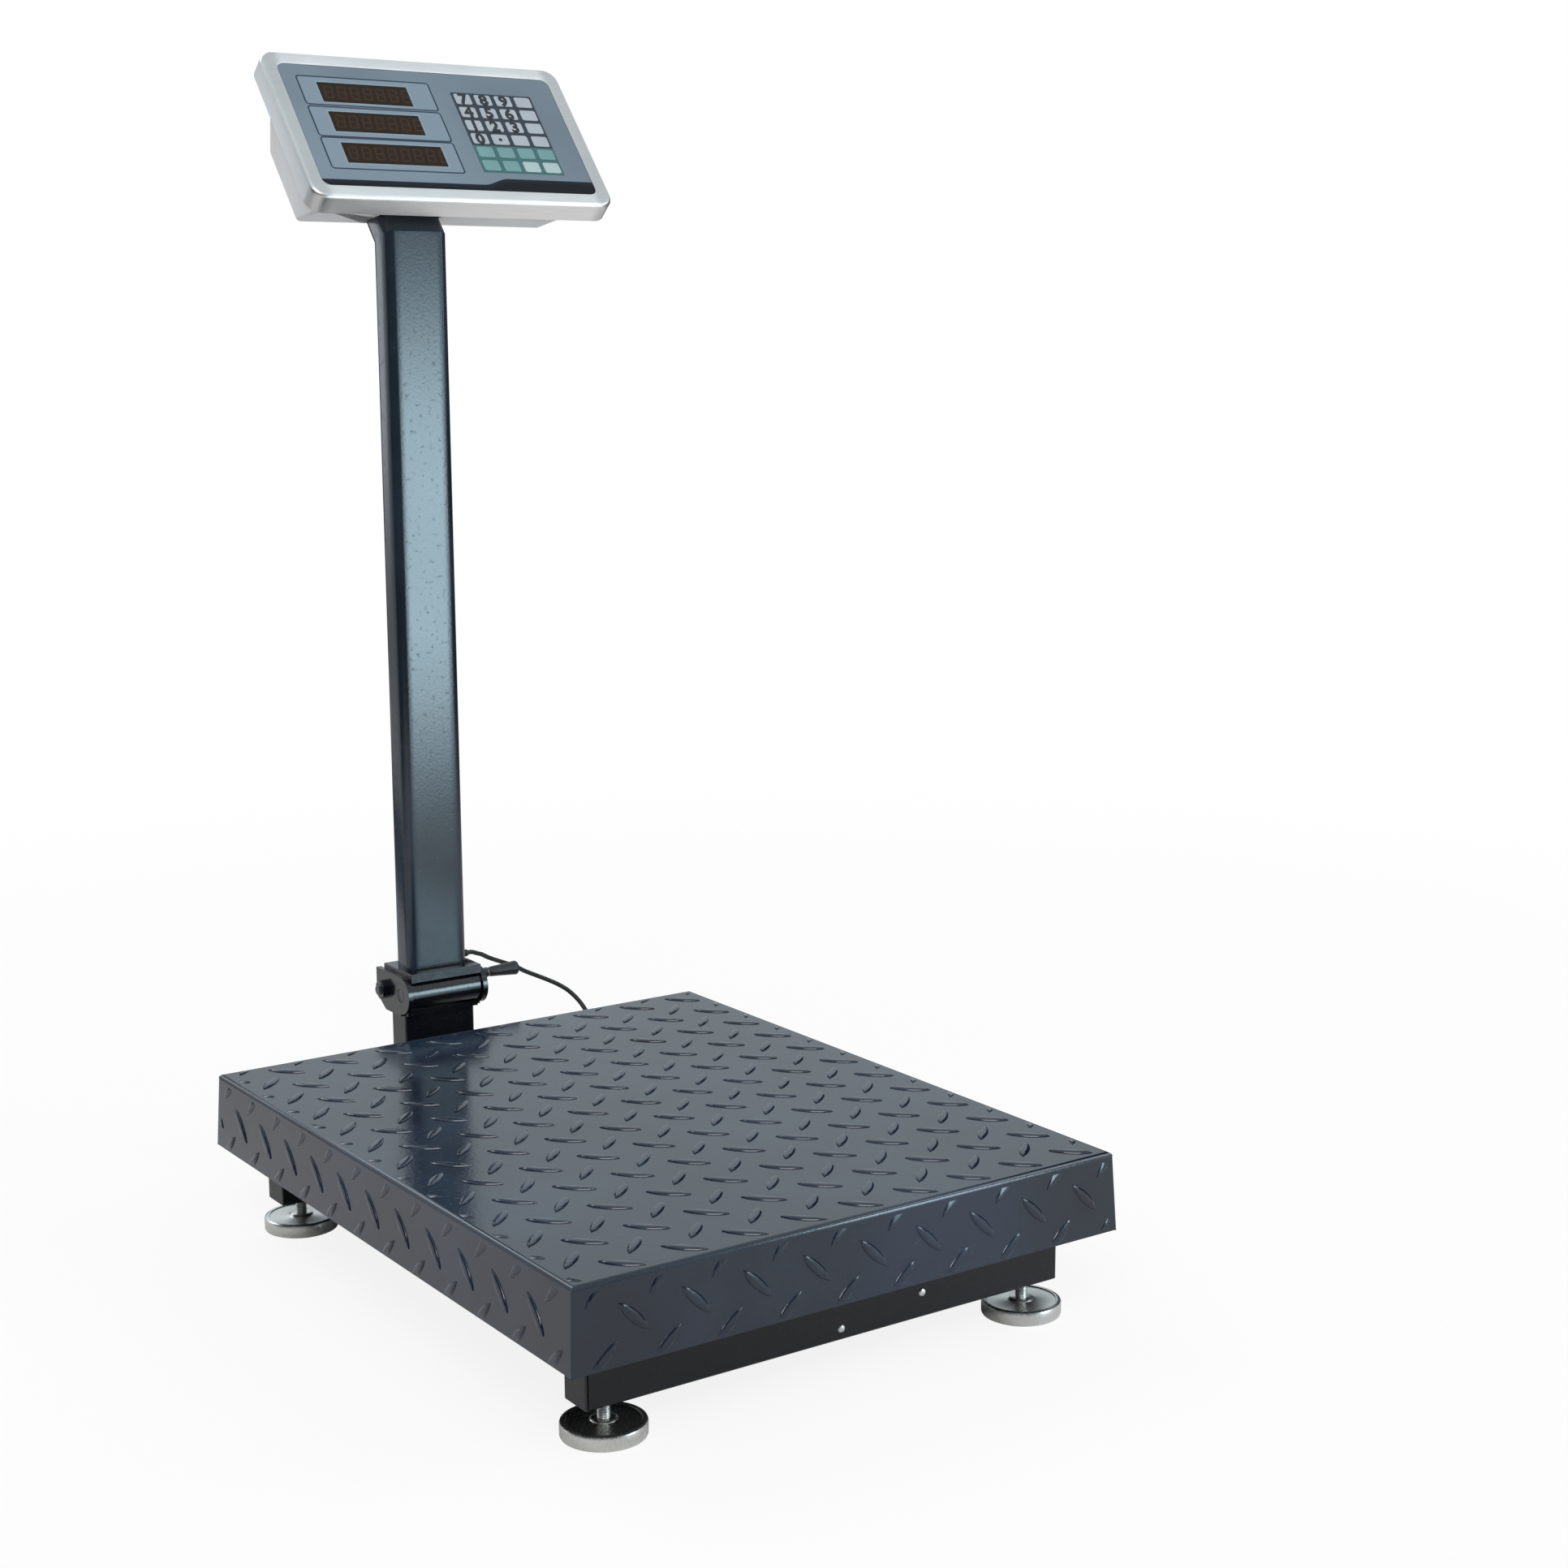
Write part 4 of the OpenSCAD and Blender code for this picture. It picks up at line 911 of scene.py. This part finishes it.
class SCALE_OT_hinge(bpy.types.Operator):
    """Builds the hinge bracket, the column's foot, the pins and the lock bolt with its grip"""

    bl_idname = "scale.hinge"
    bl_label = "Hinge"

    collar = ((0, 0), (6.9, 0), (7.5, 0.5), (7.5, 2.4), (6.9, 3), (0, 3))
    # The grip's outline, as shares of its radius and of its length.
    grip = ((0, 0.01), (0.6, 0.01), (0.67, 0.03), (0.7, 0.06), (0.76, 0.3), (0.87, 0.6),
            (0.97, 0.86), (1, 0.92), (0.97, 0.97), (0.85, 1), (0, 1))
    weld_margin = 8 * MM
    weld_pitch = 2.6 * MM
    weld_size = (2.0 * MM, 1.7 * MM, 1.5 * MM)

    def execute(self, context):
        for node, width, body in (
                ("hinge_bracket", 0.8, "base"), ("lock_nut", 0.5, "base"),
                ("column_foot", 0.6, "column")):
            edged(node, width, "hinge_enamel", "hinge_paint", body)
        self.pin()
        edged("pivot_bushes", 0.3, "bush_bronze", "bronze", "column", "bronze_bushes")
        self.lock()
        self.welds()
        return {"FINISHED"}

    def pin(self):
        """The hinge pin, with riveted heads flush in the ears."""
        low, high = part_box("hinge_pin")
        half, r = (high.x - low.x) / 2, (high.z - low.z) / 2
        dish = 0.6 * MM
        side = ((0, -dish), (r * 0.5, -dish * 0.7), (r * 0.85, 0), (r, -dish))
        outline = [(radius, -half - outward) for radius, outward in side]
        outline += [(radius, half + outward) for radius, outward in reversed(side)]
        piece("riveted_pin", lathe(outline, 40), "dark_steel", "base", ["hinge_pin"],
              pointing(middle("hinge_pin"), (1, 0, 0)))

    def lock(self):
        """The lock bolt's threaded shank and its tapered, waisted grip."""
        pitch = bpy.context.scene.scale_sizes.thread_pitch
        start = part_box("lock_bolt")[0].x
        low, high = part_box("lock_grip")
        collar_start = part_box("hinge_bracket")[1].x + 0.3 * MM
        bm = lathe(thread(LOCK_RADIUS, 0, low.x - start, pitch), 32)
        add(bm, lathe(in_mm(self.collar), 40), Matrix.Translation((0, 0, collar_start - start)))
        piece("lock_shank", bm, "dark_steel", "lock", ["lock_bolt"],
              pointing(Vector((start, LOCK.y, LOCK.z)), (1, 0, 0)), 50)
        length = high.x - low.x
        thick = (high.z - low.z) / 2
        bm = lathe([(radius * thick, along * length) for radius, along in self.grip], 40)
        piece("tapered_grip", bm, "black_plastic", "lock", ["lock_grip"],
              pointing(Vector((low.x, LOCK.y, LOCK.z)), (1, 0, 0)), 40)

    def welds(self):
        """A row of weld ripples along the front of the column's foot."""
        low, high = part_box("column_tube")
        length = high.x - low.x - 2 * self.weld_margin
        count = int(length / self.weld_pitch)
        bm = bmesh.new()
        for k in range(count + 1):
            drop = bmesh.new()
            bmesh.ops.create_uvsphere(drop, u_segments=10, v_segments=6, radius=1)
            at = (low.x + self.weld_margin + length * k / count, low.y + 0.3 * MM, low.z + 0.5 * MM)
            add(bm, drop, Matrix.Translation(at) @ Matrix.Diagonal((*self.weld_size, 1)))
        piece("foot_weld", bm, "hinge_enamel", "column", crease=80)


class SCALE_OT_column(bpy.types.Operator):
    """Builds the column and the neck that leans back from it"""

    bl_idname = "scale.column"
    bl_label = "Column"

    corner = 6.5 * MM
    wall = 2 * MM

    def execute(self, context):
        low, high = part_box("column_tube")
        knee = Vector(((low.x + high.x) / 2, low.y, high.z))
        neck = Matrix.Translation(knee) @ FACE_TURN
        for node, place, mitre in (
                ("column_tube", Matrix.Translation(knee), -TILT / 2), ("neck_tube", neck, TILT / 2)):
            low, high = span(node, place)
            reach = Vector((0, 0, 30 * MM))
            ends = (low, high + reach) if mitre < 0 else (low - reach, high)
            way = Matrix.Rotation(mitre, 3, "X") @ Vector((0, 0, math.copysign(1, -mitre)))
            bm = self.tube(*ends, way)
            piece(node + "_smooth", bm, "column_enamel", "column", [node], place, 24)
        return {"FINISHED"}

    def tube(self, low, high, way):
        """A tube along z with its end cut off at a slant plane through the origin."""
        bm = block(low, high)
        bevel(bm, edges_along(bm, (0, 0, 1)), self.corner, 8)
        open_up(bm, (0, 0, 1), (0, 0, -1))
        bmesh.ops.bisect_plane(bm, geom=bm.verts[:] + bm.edges[:] + bm.faces[:], plane_co=(0, 0, 0),
                               plane_no=way, clear_outer=True)
        hold_flat(bm, margin=4.5 * MM)
        thicken(bm, self.wall)
        return bm


class SCALE_OT_front_shell(bpy.types.Operator):
    """Builds the stainless front shell with its round rim and the sloped step to the panel"""

    bl_idname = "scale.front_shell"
    bl_label = "Front shell"

    corner = 12 * MM
    wall = 1.2 * MM
    step = 1.8 * MM

    def execute(self, context):
        rim = context.scene.scale_sizes.rim_radius
        low, high = span("front_shell", FACE)
        panel_low, panel_high = span("front_panel", FACE)
        bm = block(low, high)
        bevel(bm, edges_along(bm, (0, 1, 0)), self.corner, 8)
        open_up(bm, (0, 1, 0))
        front = faces_towards(bm, (0, -1, 0))[0]
        bevel(bm, front.edges[:], rim, 5)
        front = max(faces_towards(bm, (0, -1, 0)), key=lambda f: f.calc_area())
        half = Vector(((panel_high.x - panel_low.x) / 2, (panel_high.z - panel_low.z) / 2))
        levels = ((self.step, 0), (0.3 * MM, PANEL_SINK), (0.25 * MM, PANEL_SINK + 0.8 * PANEL_THICK))
        for margin, depth in levels:
            self.ring(bm, front, half + Vector((margin, margin)), depth)
        thicken(bm, self.wall)
        piece("stainless_tray", bm, "satin_stainless", "column", ["front_shell"], FACE, 26)
        return {"FINISHED"}

    def ring(self, bm, front, half, depth):
        """Insets the front face to a half size at a depth."""
        bmesh.ops.inset_region(bm, faces=[front], thickness=1 * MM, use_even_offset=True)
        reach = Vector((max(abs(v.co.x) for v in front.verts), max(abs(v.co.z) for v in front.verts)))
        for vert in front.verts:
            vert.co.x *= half.x / reach.x
            vert.co.z *= half.y / reach.y
            vert.co.y = depth


class SCALE_OT_rear_shell(bpy.types.Operator):
    """Builds the rear shell, its screws, and the switch and charger socket in its end"""

    bl_idname = "scale.rear_shell"
    bl_label = "Rear shell"

    corner = 6 * MM
    # Each fitting's node, edge in millimetres, finish, slot and body.
    fittings = (
        ("shell_screws", 0.35, "zinc_plate", "zinc", "column"),
        ("head_plate_screws", 0.4, "zinc_plate", "zinc", "column"),
        ("head_plate", 0.4, "zinc_plate", "zinc", "column"),
        ("charger_socket", 0.3, "black_plastic", "black_plastic", "column"),
        ("switch_frame", 0.35, "black_plastic", "black_plastic", "column"),
        ("power_rocker", 0.3, "rocker_red", "rocker_red", "rocker"),
    )

    def execute(self, context):
        bm = softened("rear_shell", 0)
        deep = span("rear_shell", FACE)[1].y
        flange = span("front_shell", FACE)[1].y
        back = FACE.inverted()
        outer = []
        for edge in sharp_edges(bm, 25):
            depths = [(back @ v.co).y for v in edge.verts]
            on_surface = all(min(abs(d - deep), abs(d - flange)) < 0.1 * MM for d in depths)
            if edge.is_convex and on_surface and max(depths) > deep - 0.1 * MM:
                outer.append(edge)
        bevel(bm, [e for e in outer if e.calc_length() > 20 * MM], self.corner, 5)
        hold_flat(bm)
        bmesh.ops.dissolve_degenerate(bm, dist=0.001 * MM, edges=bm.edges[:])
        piece("rear_housing", bm, "shell_grey", "column", ["rear_shell"], crease=24)
        for fitting in self.fittings:
            edged(*fitting)
        return {"FINISHED"}


class SCALE_OT_panel(bpy.types.Operator):
    """Builds the printed panel film and the three display windows"""

    bl_idname = "scale.panel"
    bl_label = "Panel and windows"

    def execute(self, context):
        edged("front_panel", 0.15, "panel_film", "panel_blue", "column", "printed_panel")
        for node in WINDOWS:
            edged(node, 0.2, "window_filter", "window_brown", "column", node + "_pane")
        return {"FINISHED"}


class SCALE_OT_keys(bpy.types.Operator):
    """Builds the membrane keypad: gap lines, domed keys and their figures"""

    bl_idname = "scale.keys"
    bl_label = "Keypad"

    columns = 4
    rows = 6
    plain_rows = 4
    sheet = 0.25 * MM
    dome_rise = 0.35 * MM
    gap_across = 1.8 * MM
    gap_up = 1.6 * MM
    dome_corner = 1.6 * MM
    dome_edge = 0.25 * MM
    figures = ("789", "456", "123", "0.")
    figure_size = 14 * MM
    figure_spread = 0.7 * MM
    figure_depth = 0.03 * MM
    dot_height = 1.2 * MM

    def execute(self, context):
        for name, node, surface, slot in (
                ("key_sheet_plain", "plain_keys", "key_gap", "key_grey"),
                ("key_sheet_tinted", "tinted_keys", "key_gap_tinted", "key_teal")):
            low, high = span(node, FACE)
            bm = block((low.x, PANEL_SINK - self.sheet, low.z), (high.x, PANEL_SINK + 0.1 * MM, high.z))
            bevel(bm, edges_along(bm, (0, 1, 0)), 0.8 * MM, 3)
            piece(name, bm, surface, "column", place=FACE)
        cells = [(row, column) for row in range(self.rows) for column in range(self.columns)]
        first_tinted, first_pale = self.plain_rows * self.columns, len(cells) - 2
        for name, chosen, surface, slot, nodes in (
                ("key_domes_plain", cells[:first_tinted], "key_plain", "key_grey", ["plain_keys"]),
                ("key_domes_tinted", cells[first_tinted:first_pale], "key_tinted", "key_teal",
                 ["tinted_keys"]),
                ("key_domes_pale", cells[first_pale:], "key_pale", "key_teal", [])):
            bm = bmesh.new()
            for row, column in chosen:
                add(bm, self.dome(), self.cell(row, column))
            piece(name, bm, surface, "column", nodes, FACE)
        self.numbers()
        return {"FINISHED"}

    def pitch(self):
        """The keys' spacing across and up the face."""
        low, high = span("plain_keys", FACE)
        return (high.x - low.x) / self.columns, (high.z - low.z) / self.plain_rows

    def cell(self, row, column, depth=0):
        """The place of a key's middle, at a depth from the face."""
        low, high = span("plain_keys", FACE)
        across, up = self.pitch()
        return Matrix.Translation((low.x + (column + 0.5) * across, depth, high.z - (row + 0.5) * up))

    def dome(self):
        """One key: a round-cornered pad with a soft edge."""
        across, up = self.pitch()
        half_x = across / 2 - self.gap_across
        half_z = up / 2 - self.gap_up
        front = PANEL_SINK - self.sheet - self.dome_rise
        bm = block((-half_x, front, -half_z), (half_x, PANEL_SINK, half_z))
        bevel(bm, edges_along(bm, (0, 1, 0)), self.dome_corner, 4)
        bevel(bm, faces_towards(bm, (0, -1, 0))[0].edges[:], self.dome_edge)
        return bm

    def figure(self, character):
        """One figure as thin print, its middle at the origin."""
        text = bpy.data.curves.new("figure", "FONT")
        text.body = character
        text.size = self.figure_size
        text.offset = self.figure_spread
        text.align_x = "CENTER"
        text.align_y = "CENTER"
        text.extrude = self.figure_depth
        text.resolution_u = 4
        mesh = mesh_of_curve(text)
        bm = bmesh.new()
        bm.from_mesh(mesh)
        bpy.data.meshes.remove(mesh)
        low = min(v.co.y for v in bm.verts)
        high = max(v.co.y for v in bm.verts)
        rise = -(low + high) / 2 if character != "." else -high + self.dot_height
        return bm, Matrix.Rotation(math.pi / 2, 4, "X") @ Matrix.Translation((0, rise, 0))

    def numbers(self):
        """The figures on the keys."""
        depth = PANEL_SINK - self.sheet - self.dome_rise
        bm = bmesh.new()
        for row, line in enumerate(self.figures):
            for column, character in enumerate(line):
                part, turn = self.figure(character)
                add(bm, part, self.cell(row, column, depth) @ turn)
        piece("key_figures", bm, "key_ink", "column", place=FACE, crease=30)


class SCALE_OT_works(bpy.types.Operator):
    """Finishes the works: the load cell, its bolts and spacers, the stops, board and battery"""

    bl_idname = "scale.works"
    bl_label = "Inner works"

    # Each part's node, edge in millimetres, finish, slot and body.
    parts = (
        ("load_cell", 0.5, "cell_aluminium", "cell_aluminium", "base"),
        ("cell_spacers", 0.3, "cell_aluminium", "cell_aluminium", "base"),
        ("cell_bolts", 0.4, "zinc_plate", "zinc", "base"),
        ("overload_stops", 0.4, "zinc_plate", "zinc", "base"),
        ("main_board", 0.15, "board_lacquer", "board_green", "column"),
        ("battery", 1.5, "battery_case", "battery_case", "column"),
        ("display_modules", 0.3, "black_plastic", "black_plastic", "column"),
    )

    def execute(self, context):
        for part in self.parts:
            edged(*part)
        return {"FINISHED"}


# ---------- stage ----------


class SCALE_OT_stage(bpy.types.Operator):
    """Sets the camera, the pale floor, the soft lamps and the plain studio world"""

    bl_idname = "scale.stage"
    bl_label = "Studio stage"

    camera_at = (-0.83927, -1.43702, 0.6197)
    camera_turn = (-34.93, 10.03, -0.24)
    lens = 56.56
    lamp_aim = (0, 0, 0.35)
    # Each lamp's name, place, width, height and power.
    lamps = (
        ("key_lamp", (-1.6, -2.2, 2.6), 1.8, 1.8, 62),
        ("side_lamp", (2.4, -1.6, 1.5), 1.2, 2.2, 34),
        ("back_lamp", (-0.6, 2.4, 2.6), 2.2, 1.4, 30),
    )
    flag_colour = (0.5, 0.6, 0.8)
    # Each card's name, place, turn, lean, width, height, colour and strength.
    cards = (
        ("bright_card", (0.76, -1.25, 0.36), 153, 90, 0.62, 1.14, (0.64, 0.88, 1.0), 15.0),
        ("left_card", (-0.87, 2.1, 0.75), -25, 90, 0.4, 1.5, (0.88, 0.91, 1.0), 3.2),
        ("front_flag", (-0.75, -1.75, 0.6), 180, 90, 2.3, 1.5, flag_colour, 0.10),
        ("side_flag", (-1.5, -0.4, 0.6), 90, 90, 2.3, 1.5, flag_colour, 0.10),
        ("right_flag", (1.5, -0.1, 0.6), 90, 90, 2.2, 1.5, flag_colour, 0.06),
        ("back_flag", (0.02, 3.3, 0.42), 0, 90, 1.55, 0.86, flag_colour, 0.06),
        ("floor_flag", (-0.55, 1.35, 0.004), -25, 0, 0.5, 1.5, flag_colour, 0.10),
    )

    def execute(self, context):
        self.camera(context.scene)
        self.floor()
        self.world(context.scene)
        for lamp in self.lamps:
            self.lamp(*lamp)
        for card in self.cards:
            self.card(*card)
        context.scene.view_settings.view_transform = "Standard"
        return {"FINISHED"}

    def camera(self, scene):
        """A camera aimed by azimuth, elevation and roll."""
        azimuth, elevation, roll = (math.radians(x) for x in self.camera_turn)
        back = Vector((math.sin(azimuth) * math.cos(elevation),
                       -math.cos(azimuth) * math.cos(elevation), math.sin(elevation)))
        level = (-back).cross(Vector((0, 0, 1))).normalized()
        upright = level.cross(-back)
        right = level * math.cos(roll) + upright * math.sin(roll)
        up = upright * math.cos(roll) - level * math.sin(roll)
        data = bpy.data.cameras.new("studio_camera")
        data.lens = self.lens
        data.sensor_width = 36
        camera = shown("studio_camera", data)
        camera.matrix_world = Matrix((
            (right.x, up.x, back.x, self.camera_at[0]),
            (right.y, up.y, back.y, self.camera_at[1]),
            (right.z, up.z, back.z, self.camera_at[2]),
            (0, 0, 0, 1)))
        scene.camera = camera

    def sheet(self, name, place, wide, tall, surface):
        """A flat sheet of the stage."""
        bm = bmesh.new()
        bmesh.ops.create_grid(bm, x_segments=1, y_segments=1, size=0.5)
        move(bm, place @ Matrix.Diagonal((wide, tall, 1, 1)))
        made = shown(name, mesh_of(name, bm))
        made.data.materials.append(surface.material)
        return made

    def floor(self):
        """A wide pale floor that shows nearly white to the camera and keeps a soft shadow."""
        width = 40
        surface = Surface("pale_floor", Roughness=0.8)
        surface.colour(surface.mix((0.72, 0.72, 0.72), (0.76, 0.76, 0.76), surface.noise(3, 2)))
        x, y, _ = surface.turned(Matrix())
        white = surface.glow((1, 1, 1), 1.0)
        rays = surface.node("ShaderNodeLightPath", out="Is Camera Ray")
        share = rays * (0.87 + surface.root(x, y).rise(0.4, 2.2) * 0.13)
        surface.show(surface.mix_shaders(surface.shader.outputs[0], white, share))
        self.sheet("floor", Matrix(), width, width, surface)

    def world(self, scene):
        """White to the camera and near the horizon in reflections, and a soft grey light."""
        world = bpy.data.worlds.new("studio_world")
        world.use_nodes = True
        nodes = Nodes(world.node_tree)
        nodes.tree.nodes.clear()
        place = nodes.node("ShaderNodeTexCoord", out="Generated")
        height = nodes.node("ShaderNodeSeparateXYZ", {}, {0: place}, out="Z")
        glimpse = height.rise(0.16, 0.45, 0.78, 0.90)
        seen, mirrored, light = (
            nodes.node("ShaderNodeBackground", {}, {"Color": colour, "Strength": strength})
            for colour, strength in (((1, 1, 1), 1.0), ((0.85, 0.95, 1.0), glimpse), ((1, 1, 1), 0.55)))
        camera, glossy, through = (
            nodes.node("ShaderNodeLightPath", out="Is %s Ray" % kind)
            for kind in ("Camera", "Glossy", "Transmission"))
        lit = nodes.mix_shaders(light, mirrored, glossy)
        output = nodes.tree.nodes.new("ShaderNodeOutputWorld")
        nodes.feed(output.inputs["Surface"], nodes.mix_shaders(lit, seen, camera.at_least(through)))
        scene.world = world

    def card(self, name, at, turn, lean, wide, tall, colour, strength):
        """A card that only glossy paint reflects: a soft-edged bright one, or a dark flag."""
        place = Matrix.Translation(at) @ turn_about("Z", turn) @ turn_about("X", lean)
        surface = Surface(name)
        x, y, _ = surface.turned(place)
        soft = abs(x).fall(wide * 0.3, wide * 0.5) * abs(y).fall(tall * 0.12, tall * 0.5)
        shine = surface.glow(colour, soft * strength)
        if strength > 1:
            shine = surface.mix_shaders(surface.node("ShaderNodeBsdfTransparent"), shine, soft)
        surface.show(shine)
        card = self.sheet(name, place, wide, tall, surface)
        card.visible_camera = card.visible_diffuse = card.visible_shadow = False
        card.visible_transmission = card.visible_volume_scatter = False

    def lamp(self, name, at, wide, tall, power):
        """A soft area lamp aimed at the scale."""
        data = bpy.data.lights.new(name, "AREA")
        data.shape = "RECTANGLE"
        data.size = wide
        data.size_y = tall
        data.energy = power
        aim = Vector(self.lamp_aim) - Vector(at)
        turn = aim.to_track_quat("-Z", "Y").to_matrix().to_4x4()
        shown(name, data).matrix_world = Matrix.Translation(at) @ turn


# ---------- add-on ----------

PIECES = (SCALE_OT_stage, SCALE_OT_cable, SCALE_OT_platform, SCALE_OT_base, SCALE_OT_feet,
          SCALE_OT_hinge, SCALE_OT_column, SCALE_OT_front_shell, SCALE_OT_rear_shell,
          SCALE_OT_panel, SCALE_OT_keys, SCALE_OT_works)


class SCALE_PT_parts(bpy.types.Panel):
    """Lists the sizes, the colours and the pieces"""

    bl_idname = "SCALE_PT_parts"
    bl_label = "Platform scale"
    bl_space_type = "VIEW_3D"
    bl_region_type = "UI"
    bl_category = "Scale"

    def draw(self, context):
        for group in (context.scene.scale_sizes, context.scene.scale_colours):
            for name in group.__annotations__:
                self.layout.prop(group, name)
        for operator in PIECES:
            self.layout.operator(operator.bl_idname)


CLASSES = (ScaleSizes, ScaleColours, *PIECES, SCALE_PT_parts)


def register():
    for cls in CLASSES:
        bpy.utils.register_class(cls)
    bpy.types.Scene.scale_sizes = bpy.props.PointerProperty(type=ScaleSizes)
    bpy.types.Scene.scale_colours = bpy.props.PointerProperty(type=ScaleColours)


def unregister():
    del bpy.types.Scene.scale_colours
    del bpy.types.Scene.scale_sizes
    for cls in reversed(CLASSES):
        bpy.utils.unregister_class(cls)


def main():
    """Builds every piece."""
    register()
    for operator in PIECES:
        group, name = operator.bl_idname.split(".")
        getattr(getattr(bpy.ops, group), name)()


if __name__ == "__main__":
    main()
